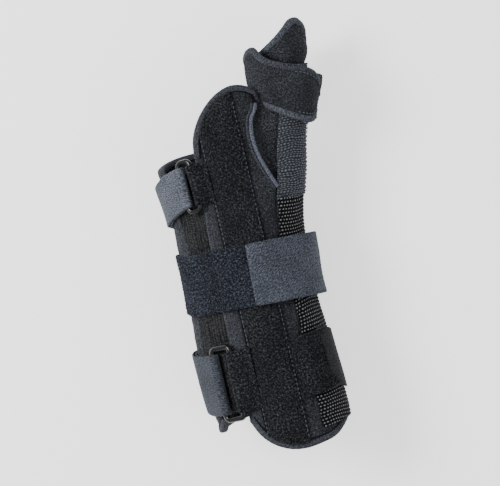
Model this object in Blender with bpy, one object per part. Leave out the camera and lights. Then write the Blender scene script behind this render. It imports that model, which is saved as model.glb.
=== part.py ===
"""Left wrist and thumb splint: padded panels round the forearm and hand, three straps, a thumb wrap
and aluminium stays. +Y runs from the forearm to the fingers, +X to the thumb side, +Z to the back of
the hand. Shapes are worked out in millimetres and become metres when a mesh is made."""

import math

import bmesh
import bpy
import numpy as np
from mathutils import Vector

MM = 0.001
GAP = 0.3  # between pieces that touch
PANEL = 3.0  # foam laminate of the panels
BINDING_WIDTH, BINDING_THICKNESS = 3.2, 4.0
BINDING_HEIGHT = -0.5  # of a binding's inner face over the limb
BINDING_INSET = BINDING_WIDTH + GAP  # from a bound edge to the panel inside it
GUSSET = (1.2, 1.0)  # height over the limb, thickness
STAY = (PANEL + GAP, 1.2)  # height over the limb, thickness
STAY_HALF_WIDTH = 8.0
STAY_POCKET_X = (-5.8, 18.0)
POCKET_COVER = 1.1
VOLAR_POCKET_HALF_WIDTH = 13.5
WEBBING = 1.2
STRAP = 1.5
HOOK = 0.5
TAB = 1.0
END_THICKNESS = 1.2  # of the strap ends that fold back through the rings
WIDE_STRAP, NARROW_STRAP = 38.0, 26.0
WRIST_Y = 107.5  # middle of the wrist strap
STRAP_RISE = PANEL + 0.9  # of a strap over the limb where only panels lie under it
OVER_STAY, OVER_VOLAR_POCKET = 2.8, 7.0  # how much more it rises over these
HOOK_LAYER = STRAP + GAP
PEEL_LAYER = HOOK_LAYER + HOOK + GAP
FLOOR = -6.0  # the plane that the straps rest on
POCKET_FLOOR = FLOOR + STRAP + GAP
HAND_RING = dict(y=168.0, x=-17.0, long=34.0, wide=11.6, wire=1.5, lean=2.0)
FOREARM_RING = dict(y=45.0, x=-20.6, long=48.0, wide=17.2, wire=1.8, lean=0.0)
RING_CORNER = 2.8
RING_HEIGHT = 6.9  # of a ring's wire over the limb

# Outer skin of the panels at stations along the arm: y, ulnar side, radial side, volar side, dorsal side.
LIMB = np.array([
    (-8, -33.0, 45.5, 0.0, 66.0), (20, -34.5, 46.0, 0.0, 65.5), (50, -36.5, 44.5, 0.0, 64.5),
    (75, -37.0, 43.0, 0.0, 63.5), (100, -35.5, 42.5, 0.0, 62.0), (130, -35.0, 44.5, 0.0, 60.5),
    (150, -34.0, 45.0, 2.5, 60.0), (176, -36.0, 45.0, 7.5, 60.0), (200, -35.0, 43.0, 13.0, 60.5),
    (228, -34.0, 41.0, 18.0, 60.5)])
# Inner skin of the thumb's tube: y, centre x, centre z, half width, half height.
THUMB = np.array([
    (120, 26.5, 33.0, 12.0, 13.0), (150, 33.5, 34.0, 11.0, 12.5), (165, 37.5, 34.5, 11.2, 12.5),
    (180, 40.8, 35.0, 11.2, 12.0), (190, 43.8, 35.0, 11.2, 12.0), (205, 48.0, 35.0, 11.0, 12.0),
    (220, 51.0, 35.0, 11.0, 12.0), (240, 55.5, 35.0, 12.3, 11.5), (258, 56.5, 34.5, 11.0, 10.0)])
# Inner skin of the wrap round the thumb, in the same form.
WRAP = np.array([
    (186, 52.5, 35.5, 11.0, 19.5), (196, 52.0, 35.5, 13.0, 20.2), (205, 52.2, 35.5, 15.5, 20.5),
    (212, 52.6, 35.5, 18.0, 20.5), (220, 52.8, 35.5, 19.2, 20.5), (228, 51.8, 35.5, 18.0, 20.0),
    (237, 51.5, 35.5, 16.5, 19.0), (248, 53.0, 35.5, 15.0, 18.0)])

# Edges of the dorsal panel with its bindings, as (x, y).
PROXIMAL_EDGE = [(-15, 20), (-10, 9.5), (-4, 3), (5, -2), (15, -3.8), (25, -3), (35, -0.5), (43, 6)]
LOBE_EDGE = [(-12, 184), (-10, 196), (-5, 206), (2, 214), (12, 220.5), (20, 222.5), (28, 220.5),
             (33, 216.5), (34.5, 211)]
ULNAR_SEAM = [(-15, 20), (-16.5, 65), (-16.5, 90), (-15, 130), (-13.5, 155), (-12, 184)]
THUMB_SEAM = [(33.5, 156), (28.5, 170), (25.8, 181), (25.3, 190), (27, 200), (30.5, 206), (34.5, 211)]
RADIAL_SEAM = [(27, -4), (27, 86), (28, 125), (31, 147), (33.5, 156)]
# Round the rest of the arm, as (degrees from the back of the hand towards the thumb, y).
PROXIMAL_UNDER = [(90, 14), (105, 18), (130, 19.5), (180, 20.5), (225, 19.5), (262, 16.5), (284, 16),
                  (299, 22)]
PALM_EDGE = [(124, 150), (134, 168), (150, 180), (180, 187), (215, 188), (255, 184), (280, 180), (298, 172)]
GUSSET_EDGE_X = [(-31, 24), (-33, 70), (-31.5, 90), (-28.5, 130), (-30, 147), (-31, 178)]
WRAP_LAYER = 2.0
WRAP_THICKNESS = WRAP_LAYER - 0.5
WRAP_INSET = BINDING_WIDTH + 2.0
WRAP_HINGE = -5.0  # degrees round the thumb, where the wrap's end starts to peel
# The wrap's edges, as (degrees round the thumb, y).
WRAP_LOW = [(-90, 215), (-60, 208), (-30, 201.5), (0, 195.5), (30, 191.5), (60, 190.5), (90, 196),
            (180, 203), (270, 215)]
WRAP_HIGH = [(-90, 238), (-62, 242.5), (-48, 242.5), (-34, 237.5), (-20, 233.5), (0, 229.5), (30, 225.5),
             (50, 222), (80, 219), (180, 228), (270, 238)]
GUTTER_HIGH = [(-95, 238.5), (-60, 239.5), (-35, 242), (-9, 246), (17, 251), (36, 254.5), (48, 255),
               (62, 253), (80, 249.5), (110, 245), (180, 241.5), (205, 240)]


def smooth(knots, t):
    """The values at t of a smooth curve through rows of (t, values)."""
    knots = np.asarray(knots, float)
    slopes = np.gradient(knots[:, 1:], knots[:, 0], axis=0)
    i = int(np.clip(np.searchsorted(knots[:, 0], t) - 1, 0, len(knots) - 2))
    span = knots[i + 1, 0] - knots[i, 0]
    s = np.clip((t - knots[i, 0]) / span, 0.0, 1.0)
    return ((1 + 2 * s) * (1 - s) ** 2 * knots[i, 1:] + s * (1 - s) ** 2 * span * slopes[i]
            + s * s * (3 - 2 * s) * knots[i + 1, 1:] - s * s * (1 - s) * span * slopes[i + 1])


def ease(t, start, end):
    """0 before start, 1 after end and smooth between them."""
    s = min(max((t - start) / (end - start), 0.0), 1.0)
    return s * s * (3 - 2 * s)


def tube(knots, y, degrees, height):
    """A point at a height over an oval tube with the given stations, at degrees from its top."""
    cx, cz, half_width, half_height = smooth(knots, y)
    turn = math.radians(degrees)
    return Vector((cx + (half_width + height) * math.sin(turn), y,
                   cz + (half_height + height) * math.cos(turn)))


def limb(y, degrees, height):
    """A point at a height over the arm's inner skin; 0 degrees is dorsal and 90 is the thumb side."""
    left, right, low, high = smooth(LIMB, y)
    turn = math.radians(degrees)
    return Vector(((left + right) / 2 + ((right - left) / 2 - PANEL + height) * math.sin(turn), y,
                   (low + high) / 2 + ((high - low) / 2 - PANEL + height) * math.cos(turn)))


def thumb(y, degrees, height):
    return tube(THUMB, y, degrees, height)


def wrap(y, degrees, height):
    return tube(WRAP, y, degrees, height)


def degrees_at(x, y):
    """Where the arm's dorsal half stands over x."""
    left, right, _, _ = smooth(LIMB, y)
    return math.degrees(math.asin(np.clip((x - (left + right) / 2) / ((right - left) / 2), -0.999, 0.999)))


def across(points, y):
    """x at y along an edge given as (x, y) points with rising y."""
    return float(smooth([(v, u) for u, v in points], y)[0])


def offset(points, distance):
    """The points moved to their left by a distance."""
    p = np.array(points, float)
    along = np.gradient(p, axis=0)
    along /= np.linalg.norm(along, axis=1)[:, None]
    return [tuple(q) for q in p + distance * np.stack([-along[:, 1], along[:, 0]], axis=1)]


def spaced(low, high, count):
    """Evenly spaced numbers from low to high."""
    return [low + (high - low) * i / (count - 1) for i in range(count)]


def material(name, colour, roughness, metallic=0.0):
    made = bpy.data.materials.new(name)
    made.use_nodes = True
    shader = made.node_tree.nodes["Principled BSDF"]
    shader.inputs["Base Color"].default_value = (*colour, 1.0)
    shader.inputs["Roughness"].default_value = roughness
    shader.inputs["Metallic"].default_value = metallic
    return made


FRAME = bpy.data.objects.new("splint_frame", None)


def place(name, mesh_or_curve, look):
    """Puts a named piece with its own material under the splint's frame."""
    made = bpy.data.objects.new(name, mesh_or_curve)
    made.data.materials.append(material(name + "_look", *look))
    made.parent = FRAME
    bpy.context.scene.collection.objects.link(made)
    return made


def sheet(name, rows, thickness, look, pivot=None):
    """A closed solid that stands on rows of points and grows outward; its origin is at pivot."""
    pivot = pivot or Vector()
    mesh = bpy.data.meshes.new(name)
    shape = bmesh.new()
    grid = [[shape.verts.new((p - pivot) * MM) for p in row] for row in rows]
    for low, high in zip(grid, grid[1:]):
        for i in range(len(low) - 1):
            shape.faces.new((low[i], low[i + 1], high[i + 1], high[i]))
    shape.to_mesh(mesh)
    shape.free()
    mesh.shade_smooth()
    made = place(name, mesh, look)
    made.location = pivot * MM
    solid = made.modifiers.new("thickness", "SOLIDIFY")
    solid.thickness = thickness * MM
    solid.offset = 1.0
    solid.use_even_offset = True
    return made


def patch(name, surface, height, thickness, look, degrees, ys, columns, rows):
    """A sheet on a surface between degrees(y) = (low, high), over ys(s) = (low, high)."""
    grid = []
    for t in spaced(0, 1, rows):
        row = []
        for s in spaced(0, 1, columns):
            low_y, high_y = ys(s)
            y = low_y + (high_y - low_y) * t
            low, high = degrees(y)
            turn = low + (high - low) * s
            row.append(surface(y, turn, height(turn, y) if callable(height) else height))
        grid.append(row)
    return sheet(name, grid, thickness, look)


def strip(name, surface, path, width, height, thickness, look, pivot=None):
    """A narrow band whose outer edge follows (degrees, y) points and which lies on their left."""
    points = [surface(y, turn, height) for turn, y in path]
    rows = []
    for i, (turn, y) in enumerate(path):
        along = (points[min(i + 1, len(path) - 1)] - points[max(i - 1, 0)]).normalized()
        out = (surface(y, turn, height + 1) - points[i]).normalized()
        rows.append([points[i], points[i] + out.cross(along).normalized() * width])
    rows = [row[::-1] for row in rows]
    return sheet(name, rows, thickness, look, pivot)


def resample(points, count):
    """Evenly spaced points on the smooth curve through the given ones."""
    p = np.array(points, float)
    along = np.concatenate([[0], np.cumsum(np.linalg.norm(np.diff(p, axis=0), axis=1))])
    knots = np.column_stack([along, p])
    return [tuple(smooth(knots, t)) for t in spaced(0, along[-1], count)]


FOAM = ((0.020, 0.020, 0.024), 0.85)
PILE = ((0.014, 0.014, 0.019), 0.95)
NAVY_PILE = ((0.016, 0.020, 0.040), 0.95)
KNIT = ((0.075, 0.082, 0.100), 0.80)
EDGE = ((0.045, 0.047, 0.056), 0.70)
ELASTIC = ((0.028, 0.024, 0.022), 0.85)
RIBBED = ((0.040, 0.042, 0.052), 0.75)
PLASTIC = ((0.012, 0.012, 0.014), 0.25)
ALUMINIUM = ((0.70, 0.71, 0.72), 0.35, 1.0)


def dorsal_panel():
    """The padded panel over the back of the forearm and hand, inside its bindings."""
    left_points = (offset(PROXIMAL_EDGE[:5], BINDING_INSET)[::-1] + offset(ULNAR_SEAM, -BINDING_INSET)[1:-1]
                   + offset(LOBE_EDGE[:6], -BINDING_INSET))
    right_points = ([(15.5, -0.1), (22, 0.6), (26.4, 6)] + offset(RADIAL_SEAM[1:4], GAP)
                    + offset(THUMB_SEAM[:5], BINDING_INSET + 0.5)
                    + [(28.2, 208), (29.2, 213), (26.5, 217), (22, 219)])
    left = np.array(sorted((y, x) for x, y in left_points))
    right = np.array(sorted((y, x) for x, y in right_points))
    low_y, high_y = 0.2, 218.6

    def border(y):
        x_low = np.interp(y, left[:, 0], left[:, 1])
        x_high = np.interp(y, right[:, 0], right[:, 1])
        return degrees_at(x_low, y), degrees_at(x_high, y)

    return patch("dorsal_panel", limb, 0, PANEL, FOAM, border, lambda s: (low_y, high_y), 7, 30)


def radial_panel():
    """The panel on the thumb side of the forearm, as far as the thumb's base."""
    low = [(0, 1.6), (0.3, 5.8), (0.6, 12.8), (0.8, 18.5), (1, 23.5)]
    return patch("radial_panel", limb, 0, PANEL, FOAM,
                 lambda y: (degrees_at(across(RADIAL_SEAM, max(y, 0)) + GAP, y), 102),
                 lambda s: (float(smooth(low, s)[0]), 111.5), 6, 16)


def volar_panel():
    """The panel under the forearm and palm; its distal end follows the crease of the palm."""
    low = [(102, 23.2), (130, 24.2), (180, 25), (225, 24), (250, 21.4)]
    high = [(turn, y - BINDING_INSET - 1.4) for turn, y in PALM_EDGE]

    def ends(s):
        return float(smooth(low, 102 + 148 * s)[0]), float(smooth(high, max(124, 102 + 148 * s))[0])

    def border(y):
        return 102.5 + 27 * ease(y, 112, 176), 250

    return patch("volar_panel", limb, 0, PANEL, FOAM, border, ends, 10, 18)


def ulnar_panel():
    """The panel on the little finger's side, up to the elastic gusset."""
    low = [(0, 21.8), (0.4, 21.4), (0.7, 22.4), (1, 28)]
    high = [(0, 182.5 - BINDING_INSET), (0.5, 179 - BINDING_INSET), (1, 170.5 - BINDING_INSET)]
    return patch("ulnar_panel", limb, 0, PANEL, FOAM,
                 lambda y: (-109.5, degrees_at(across(GUSSET_EDGE_X, y), y)),
                 lambda s: (float(smooth(low, s)[0]), float(smooth(high, s)[0])), 5, 18)


def elastic_gusset():
    """The thin elastic between the ulnar and dorsal panels, gathered by the straps over it."""
    height, thickness = GUSSET
    return patch("elastic_gusset", limb, height, thickness, ELASTIC,
                 lambda y: (degrees_at(across(GUSSET_EDGE_X, y) + 0.8, y),
                            degrees_at(across(ULNAR_SEAM, y) - 0.5, y)),
                 lambda s: (32 - 6 * s, 174 + 6 * s), 4, 16)


def thumb_panel():
    """The web between the dorsal panel and the thumb."""
    rows = []
    for y in spaced(158, 200, 9):
        hand_side = limb(y, degrees_at(across(THUMB_SEAM, y) + GAP, y), 0)
        thumb_side = thumb(y, -9, 0)
        rows.append([hand_side.lerp(thumb_side, s) - Vector((0, 0, 1.5 * math.sin(math.pi * s)))
                     for s in spaced(0, 1, 4)])
    return sheet("thumb_panel", rows, PANEL - 0.6, FOAM)


def thenar_panel():
    """The panel that holds the thumb's base and runs on along the thumb."""
    def surface(y, turn, height):
        return radial_surface(y, (turn + 4) / 92, height)

    return patch("thenar_panel", surface, 0, PANEL, FOAM, lambda y: (-4, 118 + 55 * ease(y, 118, 165)),
                 lambda s: (112, 226), 9, 20)


def thumb_gutter():
    """The open half tube that the thumb lies in past the wrap."""
    return patch("thumb_gutter", thumb, 0, PANEL - 0.5, FOAM, lambda y: (-92, 202),
                 lambda s: (232, float(smooth(GUTTER_HIGH, -92 + 294 * s)[0]) - BINDING_WIDTH - 2.2), 12, 5)


def dorsal_stay_and_pocket():
    """A straight aluminium stay under a raised strip of pile."""
    low_x, high_x = STAY_POCKET_X
    middle = (low_x + high_x) / 2
    stay_height, stay_thickness = STAY
    patch("dorsal_stay", limb, stay_height, stay_thickness, ALUMINIUM,
          lambda y: (degrees_at(middle - STAY_HALF_WIDTH, y), degrees_at(middle + STAY_HALF_WIDTH, y)),
          lambda s: (14, 203), 3, 14)

    low_y = [(0, 11), (0.2, 6.4), (0.5, 2.4), (1, 0.8)]
    high_y = [(0, 195), (0.15, 202.5), (0.3, 208), (0.5, 212.3), (0.75, 216), (1, 217.8)]

    def height(turn, y):
        share = (turn - degrees_at(low_x, y)) / (degrees_at(high_x, y) - degrees_at(low_x, y))
        rise = stay_thickness + GAP
        return stay_height + rise * ease(min(share, 1 - share), 0.0, 0.12)

    patch("dorsal_stay_pocket", limb, height, POCKET_COVER, PILE,
          lambda y: (degrees_at(low_x, y), degrees_at(high_x, y)),
          lambda s: (float(smooth(low_y, s)[0]), float(smooth(high_y, s)[0])), 9, 20)


def volar_stay_and_pocket():
    """The palm stay, bent up from the wrist to the palm, in a pocket with a flat outside."""
    stay_height, stay_thickness = STAY
    patch("volar_stay", limb, stay_height, stay_thickness, ALUMINIUM,
          lambda y: (168, 192), lambda s: (39, 175), 3, 18)
    half = VOLAR_POCKET_HALF_WIDTH
    rows = []
    for y in spaced(33, 179, 18):
        left, right, low, _ = smooth(LIMB, y)
        floor = max(low, 0.0) + POCKET_FLOOR + POCKET_COVER
        row = []
        for x in (half, half - 2.5, 0, 2.5 - half, -half):
            skin = limb(y, 180 - math.degrees(math.asin(x / ((right - left) / 2))), PANEL + GAP)
            skin.z = min(skin.z, floor) if abs(x) < half - 1 else skin.z
            row.append(skin)
        rows.append(row)
    sheet("volar_stay_pocket", rows, POCKET_COVER, FOAM)


def radial_surface(y, share, height):
    """Across the webbing on the thumb side, from the arm onto the thumb; share is 0 to 1."""
    low, high = degrees_at(across(RADIAL_SEAM, min(max(y, 0), 150)) + 0.6, y), 80
    on_limb = limb(y, low + (high - low) * share, height)
    on_thumb = thumb(max(y, 120), -4 + 92 * share, height)
    return on_limb.lerp(on_thumb, ease(y, 112, 140))


def radial_webbings_and_stay():
    """The long thumb stay under two webbings: coarse along the forearm, fine along the thumb."""
    stay_height, stay_thickness = STAY
    over = stay_height + stay_thickness + 0.7

    def band(name, low_y, high_y, low, high, height, thickness, look, rows):
        grid = [[radial_surface(y, s, height) for s in spaced(low, high, 7)]
                for y in spaced(low_y, high_y, rows)]
        sheet(name, grid, thickness, look)

    band("thumb_stay", 14, 226, 0.25, 0.75, stay_height, stay_thickness, ALUMINIUM, 26)
    band("forearm_webbing", 7, 148, 0.02, 0.98, over, WEBBING, RIBBED, 22)
    band("thumb_webbing", 148.6, 212, 0.0, 1.0, over, WEBBING, RIBBED, 12)


def bindings():
    """The tapes folded round the panels' raw edges, and the seams' piping."""
    dorsal = [(degrees_at(x, y), y) for x, y in PROXIMAL_EDGE]
    shape = (BINDING_WIDTH, BINDING_HEIGHT, BINDING_THICKNESS, EDGE)
    strip("proximal_binding", limb, resample(dorsal + PROXIMAL_UNDER, 56), *shape)
    lobe = [(degrees_at(x, y), y) for x, y in resample(LOBE_EDGE, 26)]
    strip("lobe_binding", limb, lobe[::-1], *shape)
    strip("palm_binding", limb, resample(PALM_EDGE, 26)[::-1], *shape)
    seam = [(degrees_at(x, y), y) for x, y in resample(ULNAR_SEAM, 18)]
    strip("ulnar_seam_tape", limb, seam[1:-1][::-1], BINDING_WIDTH - GAP, BINDING_HEIGHT, BINDING_THICKNESS,
          EDGE)
    piping = [(degrees_at(x - 0.2, y), y) for x, y in resample(THUMB_SEAM, 16)]
    strip("thumb_seam_piping", limb, piping[:-2], 2.6, BINDING_HEIGHT, BINDING_THICKNESS + 0.4, EDGE)


def gutter_binding():
    """The tape round the gutter's open end."""
    strip("gutter_binding", thumb, resample(GUTTER_HIGH, 22)[::-1], BINDING_WIDTH, BINDING_HEIGHT,
          BINDING_THICKNESS - 0.5, EDGE)


def wrap_edge(points, turn, sign):
    """The wrap's edge at a turn; its two edges close in on each other towards its rounded end."""
    closing = min(max((turn - 50) / 30, 0), 0.85) if turn < 90 else 0
    edge = float(smooth(points, turn if turn < 270 else turn - 360)[0])
    return edge + sign * 6.0 * (1 - math.sqrt(1 - closing ** 2))


def wrap_over(y, turn, height):
    """Over the wrap's inner skin; past the back it lies a layer higher, as its end covers the hook tab."""
    rise = WRAP_LAYER if turn < 90 else WRAP_LAYER * ease(turn, 236, 266)
    return wrap(y, turn, height + rise)


def wrap_length(names, low, high, columns, pivot=None):
    """A length of the wrap, and the tapes that bind its edges."""
    rows = []
    for t in spaced(0, 1, 7):
        row = []
        for turn in spaced(low, high, columns):
            first = wrap_edge(WRAP_LOW, turn, 1) + WRAP_INSET
            last = wrap_edge(WRAP_HIGH, turn, -1) - WRAP_INSET
            row.append(wrap_over(first + (last - first) * t, turn, 0))
        rows.append(row)
    sheet(names[0], rows, WRAP_THICKNESS, PILE, pivot)
    for name, points, sign in ((names[1], WRAP_LOW, 1), (names[2], WRAP_HIGH, -1)):
        rows = [[wrap_over(wrap_edge(points, turn, sign) + inward, turn, 0)
                 for turn in spaced(low, high, columns + 1)]
                for inward in sorted((0, sign * (WRAP_INSET - 1.0)))]
        sheet(name, rows, WRAP_THICKNESS, EDGE, pivot)


def thumb_wrap():
    """The wrap: its length round the thumb, the hook tab, and the end that peels off the tab."""
    top = max(wrap_over(y, WRAP_HINGE, WRAP_LAYER - 0.4).z for y in spaced(197, 234, 9))
    pivot = wrap_over(216, WRAP_HINGE, 0)
    pivot.z = top
    back = ("thumb_wrap_back", "wrap_back_low_binding", "wrap_back_high_binding")
    wrap_length(back, 92, 359 + WRAP_HINGE, 18)
    wrap_length(("thumb_wrap_end", "wrap_low_binding", "wrap_high_binding"), WRAP_HINGE + 1, 78, 10, pivot)
    rows = [[wrap(188 + 4 * math.sin(math.pi * s) + (218 - 188 + 5 * s) * t, 30 + 58 * s, 0)
             for s in spaced(0, 1, 6)] for t in spaced(0, 1, 6)]
    sheet("thumb_hook_tab", rows, WRAP_THICKNESS, RIBBED)


def lift(turn):
    """How far a strap stands off the panels: over the stay pockets and the webbing."""
    turn = (turn + 180) % 360 - 180
    dorsal = OVER_STAY * ease(turn, -30, -19) * (1 - ease(turn, 88, 104))
    volar = OVER_VOLAR_POCKET * ease(abs(turn), 138, 159)
    return STRAP_RISE + dorsal + volar


def strap_point(y, turn, extra=0.0):
    """On a strap's inner face, flattened where it lies on the floor."""
    point = limb(y, turn, lift(turn) + extra)
    low = max(smooth(LIMB, y)[2], 0.0)
    point.z = max(point.z, low + FLOOR + STRAP)
    return point


def strap(name, low, high, middle, width, look, columns, extra=0.0, pivot=None, slant=lambda turn: 0.0):
    """A strap round the arm from low to high degrees; slant moves it along the arm as it goes round."""
    rows = [[strap_point(middle + slant(turn) + (t - 0.5) * width, turn, extra)
             for turn in spaced(low, high, columns)] for t in spaced(0, 1, 4)]
    return sheet(name, rows, STRAP, look, pivot)


def wrist_slant(turn):
    """The wrist strap runs a little towards the elbow on the thumb side."""
    turn = (turn + 180) % 360 - 180
    fading = 1 - ease(abs(turn), 95, 175)
    return -2.6 * ease(turn, -60, 90) * fading + 2.6 * ease(-turn, 60, 90) * fading


def wrist_straps():
    """The wide wrist strap: a pile part sewn on, and a smooth end that presses over it."""
    strap("wrist_strap", -268, 40, WRIST_Y, WIDE_STRAP, NAVY_PILE, 34, slant=wrist_slant)
    pivot = strap_point(WRIST_Y, 87, PEEL_LAYER)
    low = degrees_at(5.0, WRIST_Y)
    strap("wrist_strap_end", low, 86, WRIST_Y, WIDE_STRAP, KNIT, 10, PEEL_LAYER, pivot, wrist_slant)
    strap("wrist_hook_patch", low + 3, low + 32, WRIST_Y, WIDE_STRAP - 5, PLASTIC, 5,
          HOOK_LAYER, pivot, wrist_slant).modifiers["thickness"].thickness = HOOK * MM


def ring_frame(ring):
    """A ring's centre, and its directions along its long bars, across them and out of the arm."""
    turn = degrees_at(ring["x"], ring["y"])
    centre = limb(ring["y"], turn, RING_HEIGHT)
    out = (centre - limb(ring["y"], turn, RING_HEIGHT - 1)).normalized()
    along = Vector((-math.tan(math.radians(ring["lean"])), 1, 0)).normalized()
    out = (out - along * out.dot(along)).normalized()
    side = along.cross(out)
    return centre, along, side, out


def bar(ring, sign):
    """The middle of a ring's long bar: sign -1 is the outer, +1 the inner one."""
    centre, _, side, _ = ring_frame(ring)
    return centre + side * sign * (ring["wide"] / 2 - ring["wire"])


def half_bar(ring):
    """Half the straight length of a ring's long bar."""
    return ring["long"] / 2 - ring["wire"] - RING_CORNER


def ring(name, shape):
    """A moulded oblong ring with round corners."""
    centre, along, side, _ = ring_frame(shape)
    pivot = bar(shape, 1)
    half_wide = shape["wide"] / 2 - shape["wire"] - RING_CORNER
    outline = []
    for across_sign, along_sign, start in ((1, 1, 0), (-1, 1, 90), (-1, -1, 180), (1, -1, 270)):
        for i in range(5):
            turn = math.radians(start + 22.5 * i)
            outline.append(centre + side * (across_sign * half_wide + RING_CORNER * math.cos(turn))
                           + along * (along_sign * half_bar(shape) + RING_CORNER * math.sin(turn)))
    curve = bpy.data.curves.new(name, "CURVE")
    curve.dimensions = "3D"
    curve.bevel_depth = shape["wire"] * MM
    curve.bevel_resolution = 2
    curve.render_resolution_u = 0
    line = curve.splines.new("POLY")
    line.points.add(len(outline) - 1)
    for point, where in zip(line.points, outline):
        point.co = (*((where - pivot) * MM), 1.0)
    line.use_cyclic_u = True
    made = place(name, curve, PLASTIC)
    made.location = pivot * MM


def fold(shape, sign, width, reach):
    """Rows of points round a ring's long bar: reach past it below, round it, then over it."""
    _, along, side, out = ring_frame(shape)
    middle = bar(shape, sign)
    radius = shape["wire"] + GAP
    profile = [-out * radius + side * sign * reach] if sign > 0 else []
    turns = [math.radians(-90 + 30 * i) for i in range(8)]
    profile += [out * radius * math.sin(t) - side * sign * radius * math.cos(t) for t in turns]
    if sign < 0:
        profile.insert(0, -out * radius - side * reach)
    return [[middle + p + along * w for p in profile] for w in spaced(-width / 2, width / 2, 3)]


def ring_tab(name, shape, width):
    """The sewn loop that holds a ring's inner bar to the dorsal panel."""
    rows = fold(shape, 1, width, 2.0)
    y = shape["y"]
    end_x = STAY_POCKET_X[0] - 1.4
    for row in rows:
        at = row[0].y
        row.insert(0, limb(at, degrees_at(end_x, y), PANEL + GAP + TAB))
        row[0].x = end_x
        row.append(limb(at, degrees_at(end_x - 1, y), PANEL + 2 * GAP + 2.2 * TAB))
        row[-1].x = end_x
    return sheet(name, rows, TAB, PILE)


def ring_strap(prefix, shape, width, look, low, start, slant):
    """A strap from its anchor to a ring, and its end folded back through the ring."""
    y = shape["y"]
    outer = bar(shape, -1)
    near = degrees_at(outer.x - 4.6, y)
    strap(f"{prefix}_strap", start, near, y, width, look, 24 if start < -200 else 12, slant=slant)
    rows = fold(shape, -1, min(width, 2 * half_bar(shape) - GAP), 1.2)
    for row, beside in zip(rows, spaced(-width / 2, width / 2, 3)):
        row.reverse()
        row[:0] = [strap_point(y + slant(turn) + beside, turn, PEEL_LAYER)
                   for turn in spaced(low, near - 9, 10)]
    sheet(f"{prefix}_strap_end", rows, END_THICKNESS, look, outer)
    hook = [[strap_point(y + slant(turn) + beside, turn, HOOK_LAYER) for turn in spaced(low + 3, low + 26, 4)]
            for beside in spaced(2 - width / 2, width / 2 - 2, 3)]
    sheet(f"{prefix}_hook_patch", hook, HOOK, PLASTIC, outer)


def hand_slant(turn):
    """The hand strap leaves its ring at right angles and runs towards the wrist on the palm side."""
    return 8.5 * (ease(turn, -95, -35) - 1) - 7.0 * (1 - ease(turn, -150, -95))


def forearm_slant(turn):
    """The forearm strap drifts a little towards the hand under the arm."""
    return 0.0 if turn < -200 else 4.0 * (1 - ease(turn, -110, -60)) * ease(turn, -200, -150)


def strap_anchor():
    """The pile end of the forearm strap, sewn to the dorsal panel."""
    rows = [[limb(y + 3.0 * s, degrees_at(19.5, y) * (1 - s) + 76 * s, PANEL + 4.0 - 0.6 * (1 - s))
             for s in spaced(0, 1, 6)] for y in spaced(26.5, 63.5, 4)]
    sheet("forearm_strap_anchor", rows, STRAP, PILE)


def settle():
    """Puts the frame's origin at the middle of the splint's underside."""
    graph = bpy.context.evaluated_depsgraph_get()
    corners = []
    for made in bpy.context.scene.objects:
        if made.type != "EMPTY":
            mesh = made.evaluated_get(graph).to_mesh()
            corners += [made.matrix_world @ v.co for v in mesh.vertices]
    low = [min(c[i] for c in corners) for i in range(3)]
    high = [max(c[i] for c in corners) for i in range(3)]
    FRAME.location = (-(low[0] + high[0]) / 2, -(low[1] + high[1]) / 2, -low[2])
    bpy.context.view_layer.update()


def build():
    dorsal_panel()
    radial_panel()
    volar_panel()
    ulnar_panel()
    elastic_gusset()
    thumb_panel()
    thenar_panel()
    thumb_gutter()
    dorsal_stay_and_pocket()
    volar_stay_and_pocket()
    radial_webbings_and_stay()
    bindings()
    gutter_binding()
    thumb_wrap()
    wrist_straps()
    ring("hand_ring", HAND_RING)
    ring("forearm_ring", FOREARM_RING)
    ring_tab("hand_ring_tab", HAND_RING, 24.0)
    ring_tab("forearm_ring_tab", FOREARM_RING, 36.0)
    ring_strap("hand", HAND_RING, NARROW_STRAP, KNIT, -136, -165, hand_slant)
    ring_strap("forearm", FOREARM_RING, WIDE_STRAP, KNIT, -136, -282, forearm_slant)
    strap_anchor()
    bpy.context.view_layer.update()
    settle()


for old in list(bpy.data.objects):
    if old != FRAME:
        bpy.data.objects.remove(old)
bpy.context.scene.collection.objects.link(FRAME)
build()
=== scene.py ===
"""Looks of the wrist and thumb splint: cloth surfaces, bindings, webbing, straps, rings and stitching
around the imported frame. Shapes are worked out in millimetres in the splint's own drawing frame, and
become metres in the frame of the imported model."""

import math

import bpy
import numpy as np
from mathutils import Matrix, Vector


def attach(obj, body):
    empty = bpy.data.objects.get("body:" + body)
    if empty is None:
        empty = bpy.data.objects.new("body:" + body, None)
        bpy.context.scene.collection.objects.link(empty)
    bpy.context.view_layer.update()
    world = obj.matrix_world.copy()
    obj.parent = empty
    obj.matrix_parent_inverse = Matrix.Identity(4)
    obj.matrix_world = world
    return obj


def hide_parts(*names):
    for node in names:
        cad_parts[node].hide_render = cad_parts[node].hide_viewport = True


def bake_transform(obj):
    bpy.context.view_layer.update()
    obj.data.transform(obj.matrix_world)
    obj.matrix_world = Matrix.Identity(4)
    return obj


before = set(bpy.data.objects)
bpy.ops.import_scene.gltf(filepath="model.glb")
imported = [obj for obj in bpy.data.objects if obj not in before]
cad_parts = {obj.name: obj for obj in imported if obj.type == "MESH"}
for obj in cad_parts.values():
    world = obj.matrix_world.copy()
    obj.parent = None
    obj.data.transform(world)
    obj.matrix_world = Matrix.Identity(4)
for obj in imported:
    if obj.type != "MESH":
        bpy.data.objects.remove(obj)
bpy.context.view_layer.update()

MM = 0.001
ORIGIN = np.array([-16.4753, -125.7377, 6.0123])  # of the drawing frame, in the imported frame
PANEL = 3.0
STAY_TOP = 5.2
STRAP = 1.5
LAYER = 2.6  # from a strap's inner face to that of the end that lies on it
FLOOR = -6.0
CLEARANCE = 0.1  # from the floor up to the lowest cloth
WIDE_STRAP, HAND_STRAP = 38.0, 26.0
STRAP_ROWS = 44
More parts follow.
